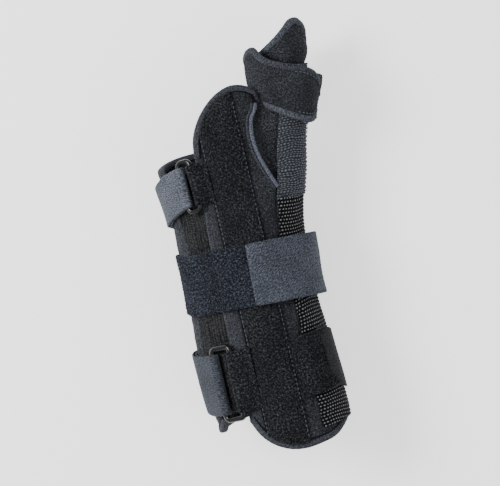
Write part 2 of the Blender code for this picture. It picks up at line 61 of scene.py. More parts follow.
WEBBING = 25.0
COARSE_ROW, COARSE_DASH = 2.15, 1.6
RING_HEIGHT = 6.9
RING_CORNER = 2.8
RING_GAP = 0.2  # between a ring's bar and the strap folded round it
HAND_RING = dict(y=168.0, x=-17.0, long=34.0, wide=11.6, wire=1.5, lean=2.0)
FOREARM_RING = dict(y=45.0, x=-20.6, long=48.0, wide=17.2, wire=1.8, lean=0.0)
WRIST_Y = 107.5
POCKET_LEFT, POCKET_RIGHT = -5.8, 18.0
UV_SCALE = 0.01  # UV units per millimetre
SIM_SCALE = 0.01  # cloth is simulated ten times larger than life
SIM_FRAMES = 20
STITCH_GAP = 0.8

# Outer skin of the panels: y, ulnar side, radial side, volar side, dorsal side.
LIMB = np.array([
    (-8, -33.0, 45.5, 0.0, 66.0), (20, -34.5, 46.0, 0.0, 65.5), (50, -36.5, 44.5, 0.0, 64.5),
    (75, -37.0, 43.0, 0.0, 63.5), (100, -35.5, 42.5, 0.0, 62.0), (130, -35.0, 44.5, 0.0, 60.5),
    (150, -34.0, 45.0, 2.5, 60.0), (176, -36.0, 45.0, 7.5, 60.0), (200, -35.0, 43.0, 13.0, 60.5),
    (228, -34.0, 41.0, 18.0, 60.5)])
# Inner skins of the thumb's tube and of the wrap: y, centre x, centre z, half width, half height.
THUMB = np.array([
    (120, 26.5, 33.0, 12.0, 13.0), (150, 33.5, 34.0, 11.0, 12.5), (165, 37.5, 34.5, 11.2, 12.5),
    (180, 40.8, 35.0, 11.2, 12.0), (190, 43.8, 35.0, 11.2, 12.0), (205, 48.0, 35.0, 11.0, 12.0),
    (220, 51.0, 35.0, 11.0, 12.0), (240, 55.5, 35.0, 12.3, 11.5), (258, 56.5, 34.5, 11.0, 10.0)])
WRAP = np.array([
    (186, 52.5, 35.5, 11.0, 19.5), (196, 52.0, 35.5, 13.0, 20.2), (205, 52.2, 35.5, 15.5, 20.5),
    (212, 52.6, 35.5, 18.0, 20.5), (220, 52.8, 35.5, 19.2, 20.5), (228, 51.8, 35.5, 18.0, 20.0),
    (237, 51.5, 35.5, 16.5, 19.0), (248, 53.0, 35.5, 15.0, 18.0)])

# Edges on the back of the hand, as (x, y).
PROXIMAL_EDGE = [(-15, 20), (-10, 9.5), (-4, 3), (5, -2), (15, -3.8), (25, -3), (35, -0.5), (43, 6)]
LOBE_EDGE = [(-12, 184), (-10, 196), (-5, 206), (2, 214), (12, 220.5), (20, 222.5), (28, 220.5),
             (33, 216.5), (34.5, 211)]
ULNAR_SEAM = [(-15, 20), (-16.5, 65), (-16.5, 90), (-15, 130), (-13.5, 155), (-12, 184)]
THUMB_SEAM = [(33.5, 156), (28.5, 170), (25.8, 181), (25.3, 190), (27, 200), (30.5, 206), (34.5, 211)]
RADIAL_SEAM = [(27, -4), (27, 86), (28, 125), (31, 147), (33.5, 156)]
GUSSET_EDGE = [(-31, 24), (-33, 70), (-31.5, 90), (-28.5, 130), (-30, 147), (-31, 178)]
# Edges as (degrees, y), round the limb and then round the thumb.
PROXIMAL_UNDER = [(90, 14), (105, 18), (130, 19.5), (180, 20.5), (225, 19.5), (262, 16.5), (284, 16),
                  (299, 22)]
PALM_EDGE = [(124, 150), (134, 168), (150, 180), (180, 187), (215, 188), (255, 184), (280, 180), (298, 172)]
WRAP_LOW = [(-90, 215), (-60, 208), (-30, 201.5), (0, 195.5), (30, 191.5), (60, 190.5), (90, 196),
            (180, 203), (270, 215)]
WRAP_HIGH = [(-90, 238), (-62, 242.5), (-48, 242.5), (-34, 237.5), (-20, 233.5), (0, 229.5), (30, 225.5),
             (50, 222), (80, 219), (180, 228), (270, 238)]
GUTTER_HIGH = [(-95, 238.5), (-60, 239.5), (-35, 242), (-9, 246), (17, 251), (36, 254.5), (48, 255),
               (62, 253), (80, 249.5), (110, 245), (180, 241.5), (205, 240)]


# ---------------------------------------------------------------- curves and surfaces

def smooth(knots, t):
    """The values at t of a smooth curve through rows of (t, values)."""
    knots, t = np.asarray(knots, float), np.asarray(t, float)
    slopes = np.gradient(knots[:, 1:], knots[:, 0], axis=0)
    i = np.clip(np.searchsorted(knots[:, 0], t) - 1, 0, len(knots) - 2)
    span = (knots[i + 1, 0] - knots[i, 0])[..., None]
    s = np.clip((t - knots[i, 0])[..., None] / span, 0.0, 1.0)
    return ((1 + 2 * s) * (1 - s) ** 2 * knots[i, 1:] + s * (1 - s) ** 2 * span * slopes[i]
            + s * s * (3 - 2 * s) * knots[i + 1, 1:] - s * s * (1 - s) * span * slopes[i + 1])


def ease(t, start, end):
    """A soft step from 0 at the start to 1 at the end."""
    s = np.clip((np.asarray(t, float) - start) / (end - start), 0.0, 1.0)
    return s * s * (3 - 2 * s)


def tube(knots, y, degrees, height):
    """Points at a height over a tube's skin; 0 degrees is dorsal and 90 is away from the hand."""
    y, degrees, height = np.broadcast_arrays(y, degrees, np.asarray(height, float))
    c, turn = smooth(knots, y), np.radians(degrees)
    return np.stack([c[..., 0] + (c[..., 2] + height) * np.sin(turn), y,
                     c[..., 1] + (c[..., 3] + height) * np.cos(turn)], axis=-1)


def thumb(y, degrees, height):
    return tube(THUMB, y, degrees, height)


def wrap(y, degrees, height):
    return tube(WRAP, y, degrees, height)


def limb(y, degrees, height):
    """Points at a height over the arm's inner skin; 0 degrees is dorsal and 90 is the thumb side."""
    y, degrees, height = np.broadcast_arrays(y, degrees, np.asarray(height, float))
    c, turn = smooth(LIMB, y), np.radians(degrees)
    half_x, half_z = (c[..., 1] - c[..., 0]) / 2 - PANEL, (c[..., 3] - c[..., 2]) / 2 - PANEL
    return np.stack([(c[..., 0] + c[..., 1]) / 2 + (half_x + height) * np.sin(turn), y,
                     (c[..., 2] + c[..., 3]) / 2 + (half_z + height) * np.cos(turn)], axis=-1)


def middle_and_half(y):
    """The x of the arm's middle at y, and half its width over the panels."""
    c = smooth(LIMB, y)
    return (c[..., 0] + c[..., 1]) / 2, (c[..., 1] - c[..., 0]) / 2


def degrees_at(x, y):
    """Where the arm's dorsal half stands over x."""
    middle, half = middle_and_half(y)
    return np.degrees(np.arcsin(np.clip((x - middle) / half, -0.999, 0.999)))


def x_at(y, degrees):
    """The x that a place on the panels stands over."""
    middle, half = middle_and_half(y)
    return middle + half * np.sin(np.radians(degrees))


def across(points, y):
    """x at y along an edge given as (x, y) points with rising y."""
    return smooth([(v, u) for u, v in points], y)[..., 0]


def along(points, t):
    """The value at t along (t, value) points."""
    return smooth(points, t)[..., 0]


def on_back(line):
    """Points on the back of the hand from (x, y) to (degrees, y)."""
    return np.stack([degrees_at(line[:, 0], line[:, 1]), line[:, 1]], axis=1)


def radial_surface(y, share, height):
    """Across the webbing on the thumb side, from the arm onto the thumb; share is 0 to 1."""
    y, share, height = np.broadcast_arrays(y, share, np.asarray(height, float))
    low = degrees_at(across(RADIAL_SEAM, np.clip(y, 0, 150)) + 0.6, y)
    on_limb = limb(y, low + (80 - low) * share, height)
    on_thumb = thumb(np.maximum(y, 120), -4 + 92 * share, height)
    mix = ease(y, 112, 140)[..., None]
    return on_limb * (1 - mix) + on_thumb * mix


def unit(v):
    return v / np.maximum(np.linalg.norm(v, axis=-1, keepdims=True), 1e-9)


def run_along(path):
    """How far along a path each of its points is."""
    return np.concatenate([[0], np.cumsum(np.linalg.norm(np.diff(path, axis=0), axis=1))])


def at_runs(path, values, runs):
    """Values given at a path's points, read at some distances along it."""
    run = run_along(path)
    return np.stack([np.interp(runs, run, values[:, k]) for k in range(3)], axis=1)


def resample(points, count):
    """Evenly spaced points on the smooth curve through the given ones."""
    p = np.array(points, float)
    run = run_along(p)
    return smooth(np.column_stack([run, p]), np.linspace(0, run[-1], count))


def raised(surface, y, turn, height):
    """A line at a height over a surface, and its outward directions."""
    line = surface(y, turn, height)
    return line, surface(y, turn, height + 1) - line


def sideways(line, out):
    """Directions across a line, along the surface that it lies on."""
    return np.cross(out, unit(np.gradient(line, axis=0)))


def shares(rows, columns):
    """Shares from 0 to 1 down the rows of a grid, and across its columns."""
    return np.linspace(0, 1, rows)[:, None], np.linspace(0, 1, columns)[None, :]


class Patch:
    """A grid of points on a surface: border(y) gives its low and high degrees, and ends(share), with
    share 0 to 1 across it, its low and high y."""

    def __init__(self, surface, border, ends, columns, rows):
        self.surface = surface
        self.share, t = np.meshgrid(np.linspace(0, 1, columns), np.linspace(0, 1, rows))
        low_y, high_y = ends(self.share)
        self.y = low_y + (high_y - low_y) * t
        low, high = border(self.y)
        self.turn = low + (high - low) * self.share

    def at(self, height):
        return self.surface(self.y, self.turn, height)


def fuzz(p, seed, amount):
    """Random heights for a grid of points, the same each run."""
    return np.random.default_rng(seed).normal(0.0, amount, p.shape[:2])


def waves(p, seed, size, amount):
    """Slow, smooth random heights over points, about size millimetres across."""
    random = np.random.default_rng(seed)
    total = np.zeros(p.shape[:-1])
    for _ in range(5):
        direction = unit(random.normal(size=3))
        pace = 2 * math.pi / (size * random.uniform(0.7, 1.4))
        total += np.sin(p @ direction * pace + random.uniform(0, 6.28))
    return total * amount / 2.2


def relief(p, slow, fine):
    """Random heights: slow is the seed, size and amount of waves, and fine the seed and amount of fuzz."""
    return waves(p, *slow) + fuzz(p, *fine)


# ---------------------------------------------------------------- meshes

def linked(name, data):
    """A new object in the scene that shows a mesh, a light or a camera."""
    made = bpy.data.objects.new(name, data)
    bpy.context.scene.collection.objects.link(made)
    return made


def mesh_object(name, points, faces, uv, material):
    """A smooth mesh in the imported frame, from points in millimetres; none lies below the floor."""
    mesh = bpy.data.meshes.new(name)
    placed = points + ORIGIN
    placed[:, 2] = np.maximum(placed[:, 2], CLEARANCE)
    mesh.from_pydata((placed * MM).tolist(), [], faces)
    if uv is not None:
        layer = mesh.uv_layers.new(name="cloth")
        corner = np.empty(len(mesh.loops), dtype=np.int32)
        mesh.loops.foreach_get("vertex_index", corner)
        layer.data.foreach_set("uv", (uv[corner] * UV_SCALE).astype(np.float32).ravel())
    mesh.materials.append(material)
    mesh.shade_smooth()
    return linked(name, mesh)


def register(made, body, node):
    """Rides a piece on a body, unless it is to bend between two, and hides the imported part that it stands
    in for.
    """
    if body:
        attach(made, body)
    if node:
        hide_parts(node)
    return made


def bend(made):
    """Bakes the placement of a piece of cloth into its mesh, on no body."""
    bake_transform(made)


def grid_faces(rows, columns, start=0, flip=False):
    """The quads of a grid of points, which are numbered from start."""
    i, j = np.meshgrid(np.arange(rows - 1), np.arange(columns - 1), indexing="ij")
    a = (start + i * columns + j).ravel()
    quads = np.stack([a, a + 1, a + columns + 1, a + columns], axis=1)
    return quads[:, ::-1] if flip else quads


def cloth_faces(rows, columns):
    """The quads of a closed sheet: an outer grid, an inner one and the rim between them."""
    count = rows * columns
    rim = np.concatenate([np.arange(columns), np.arange(1, rows) * columns + columns - 1,
                          (rows - 1) * columns + np.arange(columns - 2, -1, -1),
                          np.arange(rows - 2, 0, -1) * columns])
    following = np.roll(rim, -1)
    sides = np.stack([rim, rim + count, following + count, following], axis=1)
    return np.concatenate([grid_faces(rows, columns), grid_faces(rows, columns, count, True), sides])


def cloth(name, p, thickness, material, top, node=None, slot="panel_fabric", body="root", uv=None):
    """A closed sheet that stands on points and grows outward, with rolled edges; top adds height outside."""
    rows, columns = p.shape[:2]
    n = unit(np.cross(np.gradient(p, axis=1), np.gradient(p, axis=0)))
    step_u = np.linalg.norm(np.diff(p, axis=1), axis=-1)
    step_v = np.linalg.norm(np.diff(p, axis=0), axis=-1)
    u = np.concatenate([np.zeros((rows, 1)), np.cumsum(step_u, axis=1)], axis=1)
    v = np.concatenate([np.zeros((1, columns)), np.cumsum(step_v, axis=0)], axis=0)
    to_edge = np.minimum(np.minimum(u, u[:, -1:] - u), np.minimum(v, v[-1:] - v))
    middle = thickness / 2
    share = np.clip(to_edge / middle, 0.0, 1.0)
    bulge = 0.12 + 0.88 * np.sqrt(1 - (1 - share) ** 2)
    outer = middle + middle * bulge + top * share
    inner = middle - middle * bulge
    points = np.concatenate([(p + n * height[..., None]).reshape(-1, 3) for height in (outer, inner)])
    if uv is None:
        uv = np.stack([u - u[:, -1:] / 2, v], axis=-1)
    uv = np.tile(uv.reshape(-1, 2), (2, 1))
    made = mesh_object(name, points, cloth_faces(rows, columns).tolist(), uv, material)
    return register(made, body, node)


def sheet(name, p, thickness, material, top, held, rests_on, **more):
    """Cloth as made by cloth(); the held and rests_on arguments are not used."""
    made = cloth(name, p, thickness, material, top, **more)
    return made


def padded(name, node, p, material, top, thickness=PANEL):
    """A panel of foam between two cloths."""
    made = cloth(name, p, thickness, material, top, node=node)


def simulated(points, faces, held, pressure, slack):
    """Where points of cloth come to rest under inside pressure, while the held ones stay."""
    mesh = bpy.data.meshes.new("simulated")
    mesh.from_pydata(points.tolist(), [], faces.tolist())
    made = linked("simulated", mesh)
    group = made.vertex_groups.new(name="sewn")
    group.add(np.flatnonzero(held).tolist(), 1.0, "REPLACE")
    modifier = made.modifiers.new("cloth", "CLOTH")
    settings = modifier.settings
    settings.quality = 5
    settings.mass = 0.3
    settings.tension_stiffness = 20
    settings.compression_stiffness = 20
    settings.bending_stiffness = 0.4
    settings.vertex_group_mass = "sewn"
    settings.shrink_min = -slack
    settings.use_pressure = True
    settings.uniform_pressure_force = pressure
    settings.effector_weights.gravity = 0.0
    modifier.point_cache.frame_start = 1
    modifier.point_cache.frame_end = SIM_FRAMES
    for frame_number in range(1, SIM_FRAMES + 1):
        bpy.context.scene.frame_set(frame_number)
    evaluated = made.evaluated_get(bpy.context.evaluated_depsgraph_get())
    moved = np.empty(len(points) * 3)
    evaluated.data.vertices.foreach_get("co", moved)
    bpy.data.objects.remove(made)
    bpy.data.meshes.remove(mesh)
    bpy.context.scene.frame_set(1)
    return moved.reshape(-1, 3)


def spread(values, steps, count):
    """Rows of values known at some whole steps, filled in evenly for every step."""
    every = np.arange(count)
    k = np.clip(np.searchsorted(steps, every) - 1, 0, len(steps) - 2)
    part = ((every - steps[k]) / (steps[k + 1] - steps[k]))[:, None, None]
    return values[k] * (1 - part) + values[k + 1] * part


def puff(p, pressure, slack, limit, columns, rows, pinned=None):
    """Cloth under slight inside pressure with its border sewn down, moved by up to about the limit."""
    i, j = (np.unique(np.linspace(0, full - 1, min(few, full)).round().astype(int))
            for full, few in zip(p.shape[:2], (rows, columns)))
    coarse = p[np.ix_(i, j)]
    row_in, column_in = np.arange(len(i)), np.arange(len(j))
    from_border = np.minimum.outer(np.minimum(row_in, row_in[::-1]), np.minimum(column_in, column_in[::-1]))
    held = from_border == 0
    if pinned is not None:
        held |= pinned[np.ix_(i, j)]
    points = coarse.reshape(-1, 3) * SIM_SCALE
    moved = simulated(points, grid_faces(len(i), len(j)), held.ravel(), pressure, slack)
    shift = (moved - points).reshape(coarse.shape) / SIM_SCALE * ease(from_border, 0, 4)[..., None]
    length = np.linalg.norm(shift, axis=-1, keepdims=True)
    shift = shift * limit * np.tanh(length / limit) / np.maximum(length, 1e-9)
    tall = spread(shift, i, p.shape[0])
    return p + spread(tall.swapaxes(0, 1), j, p.shape[1]).swapaxes(0, 1)


def tube_faces(rings, sides, closed=False, start=0):
    """The faces of a tube of rings of points, with capped ends unless it closes on itself."""
    faces = []
    for i in range(rings if closed else rings - 1):
        k = (i + 1) % rings
        for j in range(sides):
            m = (j + 1) % sides
            faces.append((i * sides + j, k * sides + j, k * sides + m, i * sides + m))
    if not closed:
        faces.append(tuple(range(sides)))
        faces.append(tuple(range(rings * sides - 1, (rings - 1) * sides - 1, -1)))
    return [tuple(start + corner for corner in face) for face in faces]


def band(name, path, out, width, height, material, node=None, body="root", rim=12,
         squareness=0.6, closed=False, wobble=0.0):
    """A long rounded band along path points, as wide as width across and as high as height along out."""
    tangent = np.gradient(path, axis=0)
    if closed:
        tangent = np.roll(path, -1, axis=0) - np.roll(path, 1, axis=0)
    tangent = unit(tangent)
    out = unit(out - tangent * np.sum(out * tangent, axis=1, keepdims=True))
    side = np.cross(out, tangent)
    turns = np.linspace(0, 2 * math.pi, rim, endpoint=False)
    cos, sin = np.cos(turns), np.sin(turns)
    section_x = np.sign(cos) * np.abs(cos) ** squareness * width / 2
    section_z = np.sign(sin) * np.abs(sin) ** squareness * height / 2
    count = np.arange(len(path))
    swell = (1 + wobble * np.sin(count * 1.7) * np.sin(count * 0.53 + 1))[:, None, None]
    points = (path[:, None] + side[:, None] * section_x[None, :, None] * swell
              + out[:, None] * section_z[None, :, None] * swell)
    around = (width + height) * turns / math.pi
    uv = np.stack([np.tile(around, len(path)), np.repeat(run_along(path), rim)], axis=1)
    made = mesh_object(name, points.reshape(-1, 3), tube_faces(len(path), rim, closed), uv, material)
    return register(made, body, node)


def stitches(name, line, out, material, length=2.1, thick=0.36, body="root"):
    """A row of sewn stitches along line points, each a small rounded thread pressed into the cloth."""
    rings, sides = 5, 6
    turns = np.linspace(0, 2 * math.pi, sides, endpoint=False)
    share = np.linspace(-1, 1, rings)
    radius = thick * np.sqrt(np.clip(1 - share ** 4 * 0.9, 0.05, 1))[:, None]
    sink = -thick * 0.9 * share[:, None] ** 4
    points, faces = [], []
    for k in range(int(run_along(line)[-1] / (length + STITCH_GAP))):
        runs = (k + 0.5) * (length + STITCH_GAP) + share * length / 2
        centre, rise = at_runs(line, line, runs), at_runs(line, out, runs)
        side = np.cross(rise, unit(centre[-1] - centre[0]))
        thread = (centre[:, None] + side[:, None] * (radius * np.cos(turns))[..., None]
                  + rise[:, None] * (radius * np.sin(turns) + sink)[..., None])
        faces += tube_faces(rings, sides, start=len(points) * rings * sides)
        points.append(thread.reshape(-1, 3))
    made = mesh_object(name, np.concatenate(points), faces, None, material)
    return register(made, body, None)


# ---------------------------------------------------------------- materials

class Nodes:
    """Short names for building one material's nodes."""

    def __init__(self, name):
        self.material = bpy.data.materials.new(name)
        self.material.use_nodes = True
        self.tree = self.material.node_tree
        self.shader = self.tree.nodes["Principled BSDF"]

    def add(self, kind, **inputs):
        node = self.tree.nodes.new(kind)
        for key, value in inputs.items():
            self.set(node.inputs[key], value)
        return node

    def set(self, socket, value):
        if isinstance(value, bpy.types.NodeSocket):
            self.tree.links.new(value, socket)
        else:
            socket.default_value = value

    def math(self, operation, *values):
        node = self.tree.nodes.new("ShaderNodeMath")
        node.operation = operation
        for socket, value in zip(node.inputs, values):
            self.set(socket, value)
        return node.outputs[0]

    def product(self, a, b):
        return self.math("MULTIPLY", a, b)

    def cloth_mm(self):
        """The cloth's own coordinates in millimetres, as separate x and y."""
        uv = self.add("ShaderNodeUVMap")
        uv.uv_map = "cloth"
        scaled = self.tree.nodes.new("ShaderNodeVectorMath")
        scaled.operation = "SCALE"
        self.set(scaled.inputs[0], uv.outputs["UV"])
        scaled.inputs["Scale"].default_value = 1.0 / UV_SCALE
        split = self.add("ShaderNodeSeparateXYZ", Vector=scaled.outputs["Vector"])
        return split.outputs["X"], split.outputs["Y"]

    def noise(self, x, y, size_x, size_y, detail=2.0, seed=0.0, roughness=0.55):
        joined = self.add("ShaderNodeCombineXYZ", X=self.product(x, 1.0 / size_x),
                          Y=self.product(y, 1.0 / size_y), Z=seed)
        node = self.add("ShaderNodeTexNoise", Vector=joined.outputs[0], Scale=1.0, Detail=detail,
                        Roughness=roughness)
        return node.outputs["Fac"]

    def mottle(self, first, second, share, drift):
        """Two noises mixed by a share of the first, drifting slowly lighter and darker."""
        mixed = self.math("MULTIPLY_ADD", first, share, self.product(second, 1 - share))
        return self.math("MULTIPLY_ADD", self.math("SUBTRACT", drift, 0.5), 0.12, mixed)

    def ripple(self, value, length):
        """A wave between 0 and 1."""
        wave = self.math("SINE", self.product(value, 2 * math.pi / length))
        return self.math("MULTIPLY_ADD", wave, 0.5, 0.5)

    def ramp(self, value, stops):
        node = self.tree.nodes.new("ShaderNodeValToRGB")
        self.set(node.inputs[0], value)
        elements = node.color_ramp.elements
        while len(elements) < len(stops):
            elements.new(0.5)
        for element, (at, colour) in zip(elements, stops):
            element.position = at
            element.color = (*colour, 1.0)
        return node.outputs["Color"]

    def bump(self, height, strength, distance_mm):
        node = self.add("ShaderNodeBump", Strength=strength, Distance=distance_mm * MM, Height=height)
        return node.outputs["Normal"]

    def shade(self, values):
        for key, value in values.items():
            self.set(self.shader.inputs[key], value)

    def finish(self, colour, roughness, normal=None, sheen=0.0, specular=0.1):
        self.shade({"Base Color": colour, "Roughness": roughness, "Specular IOR Level": specular,
                    "Sheen Weight": sheen, "Sheen Roughness": 0.45, "Sheen Tint": (0.6, 0.65, 0.8, 1.0)})
        if normal is not None:
            self.set(self.shader.inputs["Normal"], normal)
        return self.material


def grey(level, blue=1.12):
    """A cloth colour from a display level of 0 to 255, slightly blue."""
    def linear(c):
        c = min(c, 255) / 255
        return c / 12.92 if c <= 0.04045 else ((c + 0.055) / 1.055) ** 2.4
    return linear(level), linear(level * (1 + (blue - 1) * 0.3)), linear(level * blue)


def pile_material(name, dark, middle, light, blue=1.12, size=1.25, sheen=0.04, seed=1.0):
    """Looped or brushed pile: mottled tufts about a millimetre across with a slow drift in tone."""
    n = Nodes(name)
    x, y = n.cloth_mm()
    tufts = n.noise(x, y, size, size, 2.0, seed, 0.75)
    loops = n.noise(x, y, size * 0.55, size * 0.55, 1.0, seed + 3)
    drift = n.noise(x, y, 16.0, 22.0, 2.0, seed + 7)
    value = n.mottle(tufts, loops, 0.66, drift)
    stops = [(0.40, grey(dark, blue)), (0.50, grey(middle, blue)), (0.57, grey(light, blue)),
             (0.66, grey(light * 1.45, blue))]
    roughness = n.math("MULTIPLY_ADD", value, -0.2, 1.0)
    return n.finish(n.ramp(value, stops), roughness, n.bump(value, 0.9, 0.8), sheen)


def knit_material(name, dark, middle, light, blue=1.12, slant=0.5, size=0.8, seed=1.0, ridge=0.0):
    """Smooth knitted or woven cloth: short slanted yarns in wales, and ridges along it if asked for."""
    n = Nodes(name)
    x, y = n.cloth_mm()
    skewed = n.math("ADD", y, n.product(x, slant))
    yarn = n.noise(x, skewed, size * 2.1, size * 0.85, 1.5, seed, 0.6)
    specks = n.noise(x, y, size, size, 1.0, seed + 5)
    drift = n.noise(x, y, 20.0, 14.0, 2.0, seed + 9)
    value = n.mottle(yarn, specks, 0.62, drift)
    if ridge:
        wave = n.math("SINE", n.product(x, 2 * math.pi / ridge))
        value = n.math("ADD", value, n.product(wave, 0.05))
    stops = [(0.39, grey(dark, blue)), (0.50, grey(middle, blue)), (0.61, grey(light, blue))]
    roughness = n.math("MULTIPLY_ADD", value, -0.25, 0.95)
    return n.finish(n.ramp(value, stops), roughness, n.bump(value, 0.7, 0.5), sheen=0.03)


def ribbed_material(name, row, dark, middle, light, dash, seed, blue=1.12, slant=0.0, wander=1.1):
    """Woven ribs across the tape, broken into short bright floats that shift from row to row; on the coarse
    webbing the bright floats are painted highlights on the rib tops.
    """
    n = Nodes(name)
    x, y = n.cloth_mm()
    drift = n.product(n.math("SUBTRACT", n.noise(x, y, 9.0, 6.0, 1.0, seed), 0.5), row * wander)
    height = n.math("ADD", n.math("ADD", y, n.product(x, slant)), drift)
    line = n.math("FLOOR", n.math("ADD", n.math("DIVIDE", height, row), 0.25))
    shifted = n.math("ADD", x, n.product(n.math("SINE", n.product(line, 12.9898)), 9.0))
    floats_and_highlights = n.math("MULTIPLY_ADD", n.ripple(shifted, dash), 0.8, 0.2)
    grain = n.math("MULTIPLY_ADD", n.noise(x, y, 1.3, 0.8, 2.0, seed + 2), 2.2, -0.1)
    value = n.product(n.product(n.ripple(height, row), floats_and_highlights), grain)
    stops = [(0.08, grey(dark, blue)), (0.40, grey(middle, blue)), (0.85, grey(light, blue))]
    return n.finish(n.ramp(value, stops), 0.85, n.bump(value, 0.8, 0.5), sheen=0.03)


def plastic_material(name, level):
    """Moulded plastic with faint scratches and wear."""
    n = Nodes(name)
    place = n.add("ShaderNodeTexCoord").outputs["Object"]
    scratch = n.add("ShaderNodeTexNoise", Vector=place, Scale=420.0, Detail=3.0).outputs["Fac"]
    wear = n.add("ShaderNodeTexNoise", Vector=place, Scale=90.0, Detail=2.0).outputs["Fac"]
    colour = n.ramp(wear, [(0.35, grey(level)), (0.7, grey(level * 1.3))])
    roughness = n.math("MULTIPLY_ADD", scratch, 0.16, 0.18)
    return n.finish(colour, roughness, n.bump(scratch, 0.08, 0.05), specular=0.34)


def metal_material(name):
    """Aluminium strip, brushed along its length."""
    n = Nodes(name)
    place = n.add("ShaderNodeTexCoord").outputs["Object"]
    stretch = n.add("ShaderNodeMapping", Vector=place, Scale=(1500.0, 60.0, 1500.0))
    brushed = n.add("ShaderNodeTexNoise", Vector=stretch.outputs[0], Scale=1.0, Detail=2.0).outputs["Fac"]
    colour = n.ramp(brushed, [(0.3, (0.55, 0.56, 0.58)), (0.7, (0.72, 0.73, 0.74))])
    n.shade({"Metallic": 1.0})
    return n.finish(colour, n.math("MULTIPLY_ADD", brushed, 0.25, 0.25))


PILE = pile_material("black_pile_cloth", 4, 21, 45)
PANEL_CLOTH = pile_material("panel_cloth", 15, 36, 55, size=1.0, seed=4.0)
PANEL_LIGHT = pile_material("panel_border_cloth", 24, 42, 60, size=1.0, seed=6.0)
NAVY = pile_material("navy_pile_cloth", 7, 27, 50, blue=1.28, seed=2.0)
WRAP_CLOTH = pile_material("wrap_cloth", 16, 37, 54, size=1.0, seed=5.0)
# Near-black cloth used only as painted shade: the hollow in the lobe's notch and the line beside each
# binding.
SHADE_CLOTH = pile_material("painted_shade_cloth", 3, 11, 24, size=1.0, seed=15.0)
STRAP_GREY = knit_material("strap_knit", 32, 57, 86, blue=1.19, slant=-0.6)
STRAP_LIGHT = knit_material("strap_knit_light", 42, 71, 99, blue=1.16, slant=0.35, size=0.72, seed=3.0)
STRAP_MIDDLE = knit_material("strap_knit_middle", 32, 53, 74, blue=1.18, slant=0.2, size=0.7, seed=8.0)
# A darker copy of the strap knit: painted shade for the forearm strap's side, which lies in shadow.
STRAP_SHADED = knit_material("strap_knit_painted_shade", 13, 29, 48, blue=1.08, size=0.75, seed=18.0)
BINDING = knit_material("binding_tape", 27, 49, 72, blue=1.14, slant=0.1, seed=5.0)
BINDING_LIGHT = knit_material("binding_tape_light", 34, 57, 81, blue=1.16, slant=0.1, seed=6.0)
PIPING = knit_material("piping_tape", 48, 74, 100, blue=1.18, slant=0.1, seed=16.0)
ELASTIC = knit_material("elastic_cloth", 9, 29, 51, blue=1.04, slant=0.0, size=0.9, seed=7.0, ridge=1.9)
LINING = knit_material("lining_cloth", 16, 30, 46, blue=1.1, slant=0.0, seed=9.0)
# The coarse webbing is black; its bright floats are painted highlights on the rib tops.
COARSE = ribbed_material("coarse_webbing", COARSE_ROW, 2, 13, 112, COARSE_DASH, 1.0, blue=1.04, slant=-0.12,
                         wander=0.0)
FINE = ribbed_material("fine_webbing", 1.45, 34, 64, 100, 2.1, 3.0, blue=1.13, slant=0.03, wander=2.6)
TAB_WEAVE = ribbed_material("tab_weave", 1.7, 26, 54, 100, 1.8, 6.0, blue=1.1, slant=0.7)
THREAD = knit_material("thread", 50, 72, 92, blue=1.16, size=0.5, seed=11.0)
DARK_THREAD = knit_material("dark_thread", 42, 60, 80, blue=1.16, size=0.5, seed=12.0)
HOOKS = pile_material("hook_tape", 5, 13, 24, size=0.7, seed=13.0, sheen=0.0)
RING_PLASTIC = plastic_material("ring_plastic", 9)
ALUMINIUM = metal_material("stay_metal")


# ---------------------------------------------------------------- panels

def dip(distance, depth, width):
    """A sewn valley: how far the cloth goes down at a distance from a stitch line."""
    return -depth * np.exp(-(distance / width) ** 2)


def dorsal_panel():
    """The back panel with its lobe, sewn down along both sides of the stay pocket."""
    left = (list(resample(PROXIMAL_EDGE[:5], 12)) + list(resample(ULNAR_SEAM, 14)[1:-1])
            + list(resample(LOBE_EDGE[:6], 12)))
    right = ([(16, -3.7), (25, -3.0), (27, -1.5)] + list(resample(RADIAL_SEAM[1:], 10))
             + list(resample(THUMB_SEAM, 12))[1:] + [(33.5, 215.5), (30, 219.4), (24, 222)])
    left_y, left_x = np.array(sorted((y, x) for x, y in left)).T
    right_y, right_x = np.array(sorted((y, x) for x, y in right)).T
    patch = Patch(limb, lambda y: (degrees_at(np.interp(y, left_y, left_x) + 1.0, y),
                                   degrees_at(np.interp(y, right_y, right_x) + 0.3, y)),
                  lambda s: (-3.0, 221.6), 52, 230)
    x, p = x_at(patch.y, patch.turn), patch.at(0.0)
    depth, width = 0.7, 1.2
    sewn = (np.abs(x - POCKET_LEFT) < width) | (np.abs(x - POCKET_RIGHT) < width)
    valleys = dip(x - POCKET_LEFT, depth, width) + dip(x - POCKET_RIGHT, depth, width)
    top = valleys + relief(p, (3, 34, 0.3), (5, 0.08))
    p = puff(p, pressure=2.0, slack=0.02, limit=0.6, columns=52, rows=150, pinned=sewn)
    padded("dorsal_panel_cloth", "dorsal_panel", p, PANEL_CLOTH, top)


def lining():
    """Thin knit inside the back of the splint, behind the seams between the panels."""
    low = [(0, 26), (0.22, 22), (0.3, 8), (0.5, 3), (0.84, 12), (1, 20)]
    high = [(0, 165), (0.3, 176), (0.6, 160), (0.75, 122), (1, 112)]
    p = Patch(limb, lambda y: (-60, 100), lambda s: (along(low, s), along(high, s)), 60, 110).at(-0.55)
    sheet("back_lining", p, 0.5, LINING, fuzz(p, 2, 0.02), "stretched", ["dorsal_panel"])


def ulnar_border():
    """The lighter border strip of the dorsal panel, between the seam tape and the stay pocket."""
    patch = Patch(limb, lambda y: (degrees_at(across(ULNAR_SEAM, y) + 1.6, y),
                                   degrees_at(POCKET_LEFT - 0.8, y)),
                  lambda s: (18 - 12 * s, 186 + 5 * s), 12, 220)
    p = patch.at(PANEL - 0.1)
    top = relief(p, (4, 26, 0.3), (6, 0.07)) + 0.5 * np.sin(math.pi * patch.share)
    sheet("dorsal_border_cloth", p, 0.6, PANEL_LIGHT, top, "stretched", ["dorsal_panel"])


